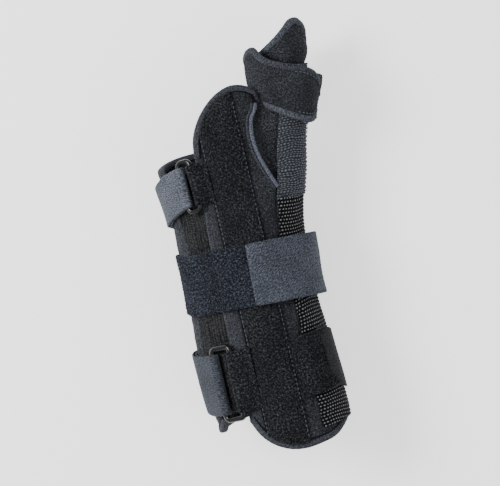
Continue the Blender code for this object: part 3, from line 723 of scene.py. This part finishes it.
def stay_pocket():
    """The pile cover sewn over the dorsal stay, with stitches down both sides."""
    low = [(0, 8.5), (0.2, 4.0), (0.5, 0.6), (1, -1.2)]
    high = [(0, 197), (0.15, 204.5), (0.3, 210), (0.5, 214.3), (0.75, 218), (1, 219.6)]
    patch = Patch(limb, lambda y: (degrees_at(POCKET_LEFT, y), degrees_at(POCKET_RIGHT, y)),
                  lambda s: (along(low, s), along(high, s)), 36, 300)
    rise = 1.5 * ease(np.minimum(patch.share, 1 - patch.share), 0.0, 0.10)
    p = puff(patch.at(PANEL + 0.1 + rise), pressure=1.5, slack=0.01, limit=0.5, columns=24, rows=140)
    sheet("stay_pocket_pile", p, 1.2, PILE, relief(p, (8, 40, 0.2), (7, 0.24)), "stretched",
          ["dorsal_panel", "dorsal_stay"], node="dorsal_stay_pocket", slot="black_pile")
    for side, x, first, last in (("left", POCKET_LEFT + 0.5, 9, 196), ("right", POCKET_RIGHT - 0.4, 2, 216)):
        ys = np.linspace(first, last, 260)
        line, out = raised(limb, ys, degrees_at(x, ys), PANEL + 1.85)
        stitches(f"pocket_stitches_{side}", line, out, THREAD, thick=0.40)


def radial_panel():
    low = [(0, -2.4), (0.3, 0.6), (0.6, 7.2), (0.8, 13.2), (1, 19)]
    p = Patch(limb, lambda y: (degrees_at(across(RADIAL_SEAM, np.clip(y, 0, 150)) - 1.8, y), 103),
              lambda s: (along(low, s), 117.0), 40, 110).at(0.0)
    p = puff(p, pressure=2.0, slack=0.02, limit=0.7, columns=28, rows=90)
    padded("radial_panel_cloth", "radial_panel", p, PANEL_CLOTH, relief(p, (12, 30, 0.3), (9, 0.06)))


def volar_panel():
    low = [(101, 18), (130, 20.2), (180, 21.2), (225, 20.2), (251, 17.6)]

    def ends(s):
        turn = 101 + 150 * s
        return along(low, turn), along(PALM_EDGE, np.maximum(turn, 124)) - 1.5

    p = Patch(limb, lambda y: (101.5 + 27 * ease(y, 112, 176), 251), ends, 90, 120).at(0.0)
    p = puff(p, pressure=1.5, slack=0.015, limit=0.6, columns=50, rows=60)
    padded("volar_panel_cloth", "volar_panel", p, PANEL_CLOTH, relief(p, (13, 40, 0.4), (10, 0.06)))


def ulnar_panel():
    low = [(0, 17.8), (0.4, 17.2), (0.7, 18.2), (1, 24)]
    high = [(0, 183), (0.5, 180.5), (1, 172.5)]
    patch = Patch(limb, lambda y: (-110.5, degrees_at(across(GUSSET_EDGE, y), y)),
                  lambda s: (along(low, s), along(high, s)), 34, 150)
    p = puff(patch.at(0.0), pressure=2.5, slack=0.03, limit=0.9, columns=28, rows=90)
    top = dip(patch.share - 0.86, 0.6, 0.03) + relief(p, (14, 28, 0.35), (11, 0.06))
    padded("ulnar_panel_cloth", "ulnar_panel", p, PANEL_LIGHT, top)


def elastic_gusset():
    """Gathered elastic: long soft folds that deepen towards the two straps."""
    patch = Patch(limb, lambda y: (degrees_at(across(GUSSET_EDGE, y) - 0.6, y),
                                   degrees_at(across(ULNAR_SEAM, y) + 1.0, y)),
                  lambda s: (30 - 6 * s, 172 + 8 * s), 44, 240)
    y, share = patch.y, patch.share
    calm = np.minimum(share, 1 - share) * 2
    gather = 0.35 + 0.65 * np.exp(-((y - 155) / 16) ** 2) + 0.5 * np.exp(-((y - 72) / 10) ** 2)
    folds = np.sin(share * 19 + 0.9 * np.sin(y / 11.0)) + 0.6 * np.sin(share * 31 - y / 7.0 + 1.0)
    p = patch.at(1.0 + 0.42 * calm * gather * folds)
    p = puff(p, pressure=1.0, slack=0.08, limit=1.0, columns=30, rows=110)
    sheet("gusset_elastic", p, 1.0, ELASTIC, fuzz(p, 12, 0.03), "gathered",
          ["ulnar_panel_cloth", "dorsal_panel_cloth"], node="elastic_gusset", slot="elastic")


def thumb_panel():
    """The web between the hand and the thumb, from the piping to the fine webbing."""
    y = np.linspace(116, 209, 130)[:, None]
    s = np.linspace(0, 1, 30)[None, :]
    hand_side = limb(y, degrees_at(across(RADIAL_SEAM[1:-1] + THUMB_SEAM, y) - 0.8, y), 0.6)
    thumb_side = radial_surface(y, 0.02 - 0.03 * ease(y, 140, 156), 0.6)
    p = hand_side * (1 - s[..., None]) + thumb_side * s[..., None]
    p[..., 2] -= 1.6 * np.sin(math.pi * s)
    p = puff(p, pressure=1.0, slack=0.05, limit=1.2, columns=20, rows=70)
    top = waves(p, 15, 22, 0.35) + fuzz(s[..., None], 13, 0.05)
    padded("thumb_web_cloth", "thumb_panel", p, PANEL_CLOTH, top, 2.4)


def lobe_notch_shade():
    """Gathered cloth in the notch where the lobe meets the thumb's web, near black as painted shade for the
    hollow there.
    """
    t, s = shares(30, 30)
    y = 202.5 + 11.5 * t
    x = 25.5 + 3.0 * t + (6.5 - 1.0 * t) * s
    folds = 0.7 * np.sin(9 * s + 5 * t + 1.5 * np.sin(6 * t)) + 0.5 * np.sin(17 * t - 4 * s)
    p = limb(y, degrees_at(x, y), 2.0 + folds * np.minimum(np.minimum(s, 1 - s) * 5, 1))
    sheet("lobe_notch_shade_cloth", p, 1.4, SHADE_CLOTH, fuzz(p, 18, 0.08), "gathered", ["dorsal_panel_cloth"])


def thenar_panel():
    def surface(y, turn, height):
        return radial_surface(y, (turn + 4) / 92, height)

    p = Patch(surface, lambda y: (-6, 122 + 54 * ease(y, 118, 165)), lambda s: (111.0, 228.0),
              56, 130).at(0.0)
    p = puff(p, pressure=2.0, slack=0.03, limit=0.8, columns=36, rows=70)
    padded("thenar_panel_cloth", "thenar_panel", p, PANEL_CLOTH, relief(p, (16, 26, 0.3), (14, 0.06)))


def dome(y, turn, height):
    """The gutter's skin, fuller on the side away from the hand."""
    return thumb(y, turn, height + 1.5 * np.exp(-((turn - 72) / 48) ** 2) * ease(y, 226, 238))


def thumb_gutter():
    p = Patch(dome, lambda y: (-94, 203), lambda s: (226.0, along(GUTTER_HIGH, -92 + 294 * s) - 1.0),
              110, 34).at(0.0)
    p = puff(p, pressure=2.5, slack=0.03, limit=0.9, columns=70, rows=24)
    padded("gutter_cloth", "thumb_gutter", p, WRAP_CLOTH, relief(p, (17, 16, 0.35), (15, 0.08)), PANEL - 0.4)
    path = resample(GUTTER_HIGH, 110)
    line, out = raised(dome, path[:, 1] - 1.2, path[:, 0], 1.4)
    band("gutter_edge_tape", line, out, 4.4, 4.2, BINDING_LIGHT, node="gutter_binding", wobble=0.03)


# ---------------------------------------------------------------- webbing, bindings and seams

def forearm_webbing():
    """Coarse ribs over the thumb stay; they stand up where the material shows its bright floats, which are
    painted highlights on the rib tops.
    """
    t, s = shares(440, 52)
    start, end = 5.6 + 3.6 * s, 150
    y = start + (end - start) * t
    sunk = ease(s, 0.7, 1.0) + 0.6 * (1 - ease(s, 0.0, 0.12))
    p = radial_surface(y, s, STAY_TOP - 0.5 - 1.6 * sunk)
    x = (s - 0.5) * WEBBING + 0 * y
    drift = 0.7 * np.sin(x / 7.0 + y / 19.0) + 0.5 * np.sin(x / 4.1 - y / 13.0)
    line = (y - 0.12 * x + drift) / COARSE_ROW
    rib = 0.5 + 0.5 * np.sin(2 * math.pi * line)
    shifted = x + 9.0 * np.sin(12.9898 * np.floor(line + 0.25))
    floats_and_highlights = 0.5 + 0.5 * np.sin(2 * math.pi * shifted / COARSE_DASH)
    top = 0.6 * rib * (0.35 + 0.65 * floats_and_highlights) + waves(p, 20, 30, 0.2)
    sheet("forearm_webbing_ribs", p, 1.1, COARSE, top, "stretched", ["thumb_stay", "radial_panel"],
          node="forearm_webbing", slot="ribbed_webbing", uv=np.stack([x, y + drift], axis=-1))


def thumb_webbing():
    """Fine ribs over the stay along the thumb, from the coarse webbing to under the wrap."""
    y = np.linspace(148.2, 227, 290)[:, None]
    s = np.linspace(-0.02, 1.04, 52)[None, :]
    p = radial_surface(y, s, STAY_TOP - 0.1 - 1.0 * ease(s, 0.8, 1.04))
    x = (s - 0.5) * WEBBING + 0 * y
    top = 0.2 * np.sin(2 * math.pi * (y + 0.03 * x) / 1.5) + relief(p, (21, 26, 0.25), (27, 0.04))
    sheet("thumb_webbing_ribs", p, 1.2, FINE, top, "stretched", ["thumb_stay", "thenar_panel"],
          node="thumb_webbing", slot="ribbed_webbing", uv=np.stack([x, y + 0 * s], axis=-1))


def webbing_stitches():
    """Rows down both sides of the fine webbing and across its lower end."""
    y = np.linspace(151, 203, 120)
    for side, share, rise in (("left", 0.035, 1.4), ("right", 0.94, 0.85)):
        line, out = raised(radial_surface, y, share, STAY_TOP + rise)
        stitches(f"webbing_stitches_{side}", line, out, DARK_THREAD, length=1.8)
    line, out = raised(radial_surface, 150.0, np.linspace(0.03, 0.97, 40), STAY_TOP + 1.4)
    stitches("webbing_stitches_end", line, out, THREAD, length=1.4)


def edge_band(name, path, inset, height, material, node, tall, width, wobble=0.02):
    """A binding folded over an edge: path is (degrees, y), and inset moves it in from the edge. It gives
    its middle line, and the directions out of the surface and across the line."""
    points, out = raised(limb, path[:, 1], path[:, 0], height)
    side = sideways(points, out)
    centre = points + side * inset
    band(name, centre, out, width, tall, material, node=node, wobble=wobble)
    return centre, out, side


def edge_tape(part, path, height, tall):
    """A binding with its stitches, and a thin near-black band beside it as painted shade where it presses
    into the panel.
    """
    width, cord, inset = 4.2, 0.9, 1.7
    centre, out, side = edge_band(f"{part}_edge_tape", path, inset, height, BINDING, f"{part}_binding",
                                  tall=tall, width=width)
    # A thin near-black band beside the tape: painted shade where the tape presses into the panel.
    shade_line = centre + side * (width / 2 + 0.2) + out * (tall / 2 - cord)
    band(f"{part}_edge_tape_shade_line", shade_line, out, cord, cord, SHADE_CLOTH, rim=6)
    seam = centre + side * (width - cord) / 2 + out * (tall - cord) / 2
    stitches(f"{part}_stitches", seam, out, DARK_THREAD, length=1.7)


def bindings():
    """Tapes round the cut edges, a cord along each of two seams, and the lip under the thumb's piping."""
    front = on_back(resample(PROXIMAL_EDGE, 90))
    edge_tape("proximal", resample(list(front[::6]) + PROXIMAL_UNDER, 330), 1.8, 4.8)
    edge_tape("lobe", on_back(resample(LOBE_EDGE, 150)[::-1]), 1.9, 4.8)
    edge_tape("palm", resample(PALM_EDGE, 180)[::-1], 1.5, 4.5)
    edge_band("ulnar_seam_cord", on_back(resample(ULNAR_SEAM, 150)[::-1]), 1.3, 1.9, BINDING,
              "ulnar_seam_tape", tall=3.6, width=2.6)
    piping = on_back(resample(THUMB_SEAM[:-1] + [(31.4, 209)], 90))
    edge_band("thumb_seam_cord", piping, 0.4, 3.0, PIPING, "thumb_seam_piping", tall=4.6, width=2.5,
              wobble=0.04)
    line, out = raised(limb, piping[:, 1], piping[:, 0], 2.3)
    band("thumb_seam_lip", line + sideways(line, out) * 2.4, out, 1.7, 3.2, BINDING, wobble=0.05)


# ---------------------------------------------------------------- straps

def signed(turn):
    """Degrees brought to between -180 and 180."""
    return (np.asarray(turn, float) + 180) % 360 - 180


def lift(turn):
    """How far a strap stands off the panels: over the stay pockets and the webbing."""
    turn = signed(turn)
    dorsal = 2.8 * ease(turn, -30, -19) * (1 - ease(turn, 88, 104))
    volar = 7.0 * ease(np.abs(turn), 138, 159)
    return PANEL + 0.9 + dorsal + volar


def strap_point(y, turn, extra=0.0):
    """On a strap's inner face, flattened where it lies on the floor."""
    y, turn = np.broadcast_arrays(np.asarray(y, float), np.asarray(turn, float))
    point = limb(y, turn, lift(turn) + extra)
    low = np.maximum(smooth(LIMB, y)[..., 2], 0.0) + FLOOR + STRAP
    point[..., 2] = np.maximum(point[..., 2], low)
    return point


def strap_grid(low, high, middle, width, slant, columns, rows, extra=0.0):
    """A strap from low to high degrees, whose middle line is at a y that slants."""
    turn = np.linspace(low, high, columns)[None, :]
    t = np.linspace(-0.5, 0.5, rows)[:, None]
    return strap_point(middle + slant(turn) + t * width, turn + 0 * t, extra)


def wrist_slant(turn):
    turn = signed(turn)
    calm = 1 - ease(np.abs(turn), 95, 175)
    return calm * (2.6 * ease(-turn, 60, 90) - 2.6 * ease(turn, -60, 90))


def hand_slant(turn):
    return 8.5 * (ease(turn, -95, -35) - 1) - 7.0 * (1 - ease(turn, -150, -95))


def forearm_slant(turn):
    return np.where(turn < -200, 0.0, 4.0 * (1 - ease(turn, -110, -60)) * ease(turn, -200, -150))


def wrist_straps():
    """Navy pile round the back and the little finger's side; smooth grey knit on the thumb side."""
    p = strap_grid(-178, 40, WRIST_Y, WIDE_STRAP, wrist_slant, 250, 60)
    sheet("wrist_strap_pile", p, STRAP, NAVY, relief(p, (22, 30, 0.25), (21, 0.26)), "folded",
          ["dorsal_panel", "volar_panel"], node="wrist_strap", slot="navy_pile")
    low = float(degrees_at(np.array(5.0), np.array(WRIST_Y)))
    turn = np.linspace(low, 184, 150)[None, :]
    t = np.linspace(-0.5, 0.5, 60)[:, None]
    width = WIDE_STRAP + 0.6 - 1.4 * (1 - ease(turn, low, low + 2.5))
    over = 0.1 + (LAYER - 0.7) * (1 - ease(turn, 84, 104))
    p = strap_point(WRIST_Y + wrist_slant(turn) + t * width, turn + 0 * t, over)
    made = sheet("wrist_strap_knit", p, STRAP, STRAP_GREY, relief(p, (24, 30, 0.3), (25, 0.05)), "folded",
                 ["wrist_strap_pile", "volar_panel"], node="wrist_strap_end", slot="strap_knit", body=None)
    hinge = strap_point(WRIST_Y, 87.0, LAYER)
    bend(made)
    p = strap_grid(low + 3, low + 33, WRIST_Y, WIDE_STRAP - 5.0, wrist_slant, 30, 24, LAYER - 1.0)
    sheet("wrist_hooks", p, 0.5, HOOKS, fuzz(p, 26, 0.05), "stretched", ["wrist_strap_knit"],
          node="wrist_hook_patch", slot="hook_fabric", body="wrist_end")


def ring_frame(ring):
    """A ring's centre, and its directions along its long bars, across them and out."""
    y = np.array(ring["y"])
    turn = degrees_at(ring["x"], y)
    centre = limb(y, turn, RING_HEIGHT)
    out = centre - limb(y, turn, RING_HEIGHT - 1)
    direction = unit(np.array([-math.tan(math.radians(ring["lean"])), 1.0, 0.0]))
    out = unit(out - direction * (out @ direction))
    return centre, direction, np.cross(direction, out), out


def bar(ring, sign):
    """The middle of a ring's inner (1) or outer (-1) long bar."""
    centre, _, side, _ = ring_frame(ring)
    return centre + side * sign * (ring["wide"] / 2 - ring["wire"])


def straight_bar(ring):
    """How much of a ring's long bar lies between its round corners."""
    return ring["long"] - 2 * (ring["wire"] + RING_CORNER)


def make_ring(name, ring, node):
    """A glossy moulded ring: flattened wire with rounded corners."""
    centre, direction, side, out = ring_frame(ring)
    half_bar = straight_bar(ring) / 2
    half_wide = ring["wide"] / 2 - ring["wire"] - RING_CORNER
    outline = []
    for side_sign, long_sign, start in ((1, 1, 0), (-1, 1, 90), (-1, -1, 180), (1, -1, 270)):
        for turn in np.radians(start + np.linspace(0, 90, 14)):
            outline.append(centre + side * (side_sign * half_wide + RING_CORNER * math.cos(turn))
                           + direction * (long_sign * half_bar + RING_CORNER * math.sin(turn)))
    path = []
    for a, b in zip(outline, outline[1:] + outline[:1]):
        steps = max(1, int(np.linalg.norm(b - a) / 1.2))
        path += [a + (b - a) * i / steps for i in range(steps)]
    band(name, np.array(path), np.tile(out, (len(path), 1)), ring["wire"] * 2.05, ring["wire"] * 2.0,
         RING_PLASTIC, node=node, body=node, rim=16, squareness=0.85, closed=True)


def fold_profile(ring, sign, radius, first, last, reach=0.0):
    """Points round a ring's long bar from below it (-90 degrees), round its inside, to above it (90)."""
    _, _, side, out = ring_frame(ring)
    turns = np.radians(np.linspace(first, last, 22))[:, None]
    arc = out * radius * np.sin(turns) - side * sign * radius * np.cos(turns)
    if reach:
        start = -out * radius + side * sign * reach * np.linspace(1, 0.15, 5)[:, None]
        arc = np.concatenate([start, arc])
    return bar(ring, sign) + arc


def along_bar(ring, profile, width, rows):
    """A fold's profile drawn out along a ring's long bar."""
    _, direction, _, _ = ring_frame(ring)
    return profile[None] + direction * width * np.linspace(-0.5, 0.5, rows)[:, None, None]


def bridge(a, b, count, rise=0.0):
    """Some points between two others, on a line or a low arch."""
    s = np.linspace(0, 1, count + 2)[1:-1, None]
    return a * (1 - s) + b * s + np.array([0, 0, 1.0]) * rise * np.sin(math.pi * s)


def joined(first, second, count, rise=0.0):
    """Two grids of cloth made one by more columns between them."""
    join = np.stack([bridge(a, b, count, rise) for a, b in zip(first[:, -1], second[:, 0])])
    return np.concatenate([first, join, second], axis=1)


def ring_tab(name, ring, width, node):
    """The sewn pile loop that holds a ring's inner bar to the dorsal panel."""
    y = np.array(ring["y"])
    start = limb(y, degrees_at(-7.0, y), PANEL + 1.1)
    end = limb(y, degrees_at(POCKET_LEFT + 1.0, y), PANEL + 2.0)
    low_end = limb(y, degrees_at(-8.5, y), PANEL + 2.2)
    profile = fold_profile(ring, 1, ring["wire"] + 0.3, -90, 125, 2.0)
    path = np.concatenate([[start], profile, bridge(profile[-1], low_end, 6, 0.4), [low_end], [end]])
    path = at_runs(path, path, np.linspace(0, run_along(path)[-1], 56))
    p = along_bar(ring, path, width, 50)
    sheet(name, p, 1.2, PILE, relief(p, (32, 24, 0.2), (31, 0.16)), "folded", ["dorsal_panel"], node=node,
          slot="black_pile")


def tucked(turn):
    """How much closer the forearm strap lies to the side of the arm than its stays need."""
    turn = signed(turn)
    return 2.8 * (ease(turn, 88, 104) - ease(turn, 62, 90))


def strap_to_ring(prefix, ring, width, start, near, slant, colour, columns, rests_on):
    """A strap from the palm side that goes up through a ring."""
    flat_part = strap_grid(start, near, ring["y"], width, slant, columns, STRAP_ROWS,
                           tucked(np.linspace(start, near, columns)))
    profile = fold_profile(ring, -1, ring["wire"] + RING_GAP + STRAP, -90, 0, 1.0)
    narrow = min(width, straight_bar(ring) - 0.3)
    p = joined(flat_part, along_bar(ring, profile, narrow, STRAP_ROWS), 5)
    made = sheet(f"{prefix}_strap_knit", p, STRAP, colour, waves(p, 41, 28, 0.2), "folded", rests_on,
                 node=f"{prefix}_strap", slot="strap_knit", body=None)
    outer = bar(ring, -1)
    bend(made)


def folded_end(prefix, ring, width, low, near, slant, colour):
    """A strap's end, folded back over its ring's outer bar, and the hooks that hold it."""
    over = strap_grid(low, near - 5, ring["y"], width, slant, 60, STRAP_ROWS, LAYER - 0.5)
    profile = fold_profile(ring, -1, ring["wire"] + RING_GAP, -35, 125)[::-1]
    folded = along_bar(ring, profile, min(width, straight_bar(ring) - 0.3), STRAP_ROWS)
    p = joined(over, folded, 8, 0.5)
    made = sheet(f"{prefix}_end_knit", p, 1.4, colour, relief(p, (43, 26, 0.25), (44, 0.05)), "folded",
                 [f"{prefix}_strap_knit"], node=f"{prefix}_strap_end", slot="strap_knit", body=None)
    bend(made)
    p = strap_grid(low + 3, low + 26, ring["y"], width - 4, slant, 24, 20, LAYER - 0.9)
    sheet(f"{prefix}_hooks", p, 0.5, HOOKS, fuzz(p, 45, 0.05), "stretched", [f"{prefix}_end_knit"],
          node=f"{prefix}_hook_patch", slot="hook_fabric", body=f"{prefix}_end")


def ring_strap(prefix, ring, width, start, slant, colour, columns, rests_on):
    """A strap that goes through a ring, with its end folded back on it."""
    near = float(degrees_at(bar(ring, -1)[0] - 4.0, np.array(ring["y"])))
    strap_to_ring(prefix, ring, width, start, near, slant, colour, columns, rests_on)
    folded_end(prefix, ring, width, -136, near, slant, colour)


def strap_anchor():
    """The sewn pile end of the forearm strap on the radial side."""
    edge = [(24, 45.5), (31, 44.3), (40, 39.8), (53, 39.0), (61.5, 40.8), (67, 43)]
    t, s = shares(62, 50)
    y = 26.0 + 37.5 * t + 3.4 * s ** 2
    middle, half = middle_and_half(y)
    last = np.degrees(np.arcsin(np.clip((along(edge, y) - middle) / (half - PANEL + 8.5), -0.99, 0.99)))
    turn = degrees_at(POCKET_RIGHT + 0.4, y) * (1 - s) + last * s
    p = limb(y, turn, PANEL + 0.7 + 3.6 * ease(s, 0.0, 0.5))
    sheet("forearm_anchor_pile", p, STRAP, PILE, relief(p, (52, 26, 0.3), (51, 0.24)), "stretched",
          ["dorsal_panel_cloth", "forearm_webbing_ribs"], node="forearm_strap_anchor", slot="black_pile")


def strap_side():
    """The forearm strap's knit where it goes on under the anchor and round the side, in a darker copy of the
    strap knit as painted shade for that side.
    """
    turn = np.linspace(52, 100, 60)[None, :]
    t = np.linspace(-0.5, 0.5, 62)[:, None]
    y = FOREARM_RING["y"] + 3.0 * (1 - ease(turn, 52, 80)) + WIDE_STRAP * t
    p = strap_point(y, turn, 0.25 - 1.4 * (1 - ease(turn, 60, 82)) + tucked(turn))
    sheet("forearm_side_knit", p, STRAP, STRAP_SHADED, waves(p, 53, 24, 0.25), "stretched",
          ["forearm_webbing_ribs"], slot="strap_knit")


# ---------------------------------------------------------------- thumb wrap

def wrap_over(y, turn, height):
    """Over the wrap's inner skin; past the back it lies a layer higher, as its end covers the hook tab."""
    rise = np.where(turn < 90, 2.0, 2.0 * ease(turn, 236, 266))
    return wrap(y, turn, height + rise)


def wrap_edges(turn):
    """The wrap's lower and upper edges, which meet in a rounded end."""
    short = np.where(turn < 270, turn, turn - 360)
    low, high = along(WRAP_LOW, short), along(WRAP_HIGH, short)
    closing = np.where(turn < 90, np.clip((turn - 44) / 35, 0.0, 0.985), 0.0)
    half = (high - low) / 2 * np.sqrt(1 - closing ** 2)
    return (low + high) / 2 - half, (low + high) / 2 + half


def along_wrap(turn, inset, height, upper):
    """A line on the wrap beside one of its edges, and its outward directions."""
    low, high = wrap_edges(turn)
    return raised(wrap_over, high - inset if upper else low + inset, turn, height)


def bend_wrap(made):
    """Bakes a piece of the wrap's end into its mesh, on no body; a point on the top of the thumb is worked
    out but not used.
    """
    hinge = wrap_over(216.0, np.array(-5.0), 1.6)
    bend(made)


def wrap_part(name, node, low, high, columns, body):
    """Padded pile between two places round the thumb."""
    turn = np.linspace(low, high, columns)[None, :]
    t = np.linspace(0, 1, 70)[:, None]
    first, last = wrap_edges(turn)
    p = wrap_over(first + 1.2 + (last - first - 2.4) * t, turn + 0 * t, 0.0)
    p = puff(p, pressure=2.5, slack=0.03, limit=0.8, columns=40, rows=24)
    return sheet(name, p, 1.6, WRAP_CLOTH, relief(p, (64, 20, 0.35), (63, 0.13)), "folded",
                 ["gutter_cloth"], node=node, slot="black_pile", body=body)


def wrap_tape(part, upper, low, high, columns, body):
    """The tape along one edge of the wrap."""
    line, out = along_wrap(np.linspace(low, high, columns), 1.6, 0.9, upper)
    if not upper:
        line, out = line[::-1], out[::-1]
    return band(f"wrap_{part}_tape", line, out, 4.0, 2.9, BINDING if upper else BINDING_LIGHT,
                node=f"wrap_{part}_binding", body=body, wobble=0.05)


def thumb_wrap():
    """The wrap round the thumb: its back, and the end that peels off the hook tab, with its stitching."""
    wrap_part("wrap_back_cloth", "thumb_wrap_back", 88, 274, 120, "root")
    for upper, side in enumerate(("low", "high")):
        wrap_tape(f"back_{side}", upper, 88, 274, 120, "root")
    bend_wrap(wrap_part("wrap_end_cloth", "thumb_wrap_end", -90, 79, 150, None))
    for upper, side in enumerate(("low", "high")):
        bend_wrap(wrap_tape(side, upper, -90, 70, 150, None))
    turns = np.linspace(14, 73, 80)
    low_line, low_out = along_wrap(turns, 4.6, 2.45, False)
    high_line, high_out = along_wrap(turns, 4.6, 2.45, True)
    line = np.concatenate([low_line, high_line[::-1]])
    out = np.concatenate([low_out, high_out[::-1]])
    stitches("wrap_end_stitches", line, out, THREAD, length=1.9, thick=0.42, body="thumb_end")


def hook_tab():
    """The woven tab that the wrap's end holds to, with ribs that run in chevrons."""
    t, s = shares(56, 60)
    y = 189.5 + 2.5 * s + (33.5 - 7.5 * s) * t
    p = wrap(y, 30 + 66 * s + 0 * t, 0.3 + (1.3 + 1.8 * t) * ease(s, 0.6, 1.0))
    chevron = np.abs((34 * s / 1.9) % 2 - 1)
    top = 0.22 * np.sin(2 * math.pi * (y + 1.4 * chevron) / 1.8) + waves(p, 66, 18, 0.3)
    sheet("wrap_hook_tab_cloth", p, 1.5, TAB_WEAVE, top, "stretched", ["wrap_back_cloth"],
          node="thumb_hook_tab", slot="hook_fabric")


# ---------------------------------------------------------------- the palm pocket and the metal stays

def volar_pocket():
    """The pocket over the palm stay, flat where the splint lies on it."""
    half = 13.5
    y, x = np.meshgrid(np.linspace(32, 180, 150), np.linspace(half, -half, 34), indexing="ij")
    turn = 180 - np.degrees(np.arcsin(x / middle_and_half(y)[1]))
    p = limb(y, turn, PANEL + 0.3)
    floor = np.maximum(smooth(LIMB, y)[..., 2], 0.0) + FLOOR + STRAP + 0.3 + 1.1
    flat = 1 - ease(np.abs(x), half - 2.5, half - 0.5)
    p[..., 2] = p[..., 2] * (1 - flat) + np.minimum(p[..., 2], floor) * flat
    sheet("palm_pocket_cloth", p, 1.1, PANEL_CLOTH, np.minimum(fuzz(p, 71, 0.04), 0.0), "stretched",
          ["volar_panel", "volar_stay"], node="volar_stay_pocket")


def metals():
    for node in ("dorsal_stay", "volar_stay", "thumb_stay"):
        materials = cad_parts[node].data.materials
        materials.clear()
        materials.append(ALUMINIUM)


# ---------------------------------------------------------------- stage

def pale_floor():
    """A wide floor, pale grey and lit from within so that shadows stay soft."""
    size, level = 3.0, -0.0003
    mesh = bpy.data.meshes.new("floor")
    corners = [(-size, -size, level), (size, -size, level), (size, size, level), (-size, size, level)]
    mesh.from_pydata(corners, [], [(0, 1, 2, 3)])
    n = Nodes("floor_paint")
    n.shade({"Base Color": (0.86, 0.86, 0.86, 1), "Roughness": 0.9, "Specular IOR Level": 0.1,
             "Emission Color": (1.0, 1.0, 1.0, 1), "Emission Strength": 1.1})
    mesh.materials.append(n.material)
    floor = linked("floor", mesh)


def lamp(name, place, size, power):
    """A square soft light that faces the splint."""
    target = Vector((0, 0, 0.03))
    light = bpy.data.lights.new(name, "AREA")
    light.energy = power
    light.size = size
    made = linked(name, light)
    made.location = place
    made.rotation_euler = (target - Vector(place)).to_track_quat("-Z", "Y").to_euler()


def stage():
    pale_floor()
    world = bpy.data.worlds.new("studio")
    world.use_nodes = True
    background = world.node_tree.nodes["Background"]
    background.inputs["Color"].default_value = (0.97, 0.985, 1.0, 1)
    background.inputs["Strength"].default_value = 0.72
    bpy.context.scene.world = world
    lamp("key", (-0.75, 0.35, 0.95), 0.45, 17.0)
    lamp("fill", (0.7, -0.5, 1.1), 0.9, 4.0)


def camera():
    """Straight down from well above, turned so that the splint leans as in the picture."""
    distance, plane, width, tilt = 2.0, 0.060, 0.3075, math.radians(-13.0)
    data = bpy.data.cameras.new("camera")
    data.sensor_width = 36.0
    data.lens = data.sensor_width * distance / width
    data.clip_end = 20.0
    made = linked("camera", data)
    made.location = (-0.0070, 0.0002, plane + distance)
    made.rotation_euler = (0.0, 0.0, tilt)
    bpy.context.scene.camera = made


for build in (camera, stage, dorsal_panel, lining, ulnar_border, stay_pocket, radial_panel, volar_panel,
              ulnar_panel, elastic_gusset, thumb_panel, lobe_notch_shade, thenar_panel, thumb_gutter,
              forearm_webbing, thumb_webbing, webbing_stitches, bindings, wrist_straps):
    build()
make_ring("hand_ring_moulded", HAND_RING, "hand_ring")
make_ring("forearm_ring_moulded", FOREARM_RING, "forearm_ring")
ring_tab("hand_tab_pile", HAND_RING, HAND_STRAP - 1.0, "hand_ring_tab")
ring_tab("forearm_tab_pile", FOREARM_RING, WIDE_STRAP, "forearm_ring_tab")
ring_strap("hand", HAND_RING, HAND_STRAP, -165, hand_slant, STRAP_LIGHT, 110, ["volar_panel_cloth"])
ring_strap("forearm", FOREARM_RING, WIDE_STRAP, -268, forearm_slant, STRAP_MIDDLE, 220,
           ["volar_panel_cloth", "palm_pocket_cloth"])
for build in (strap_anchor, strap_side, thumb_wrap, hook_tab, volar_pocket, metals):
    build()
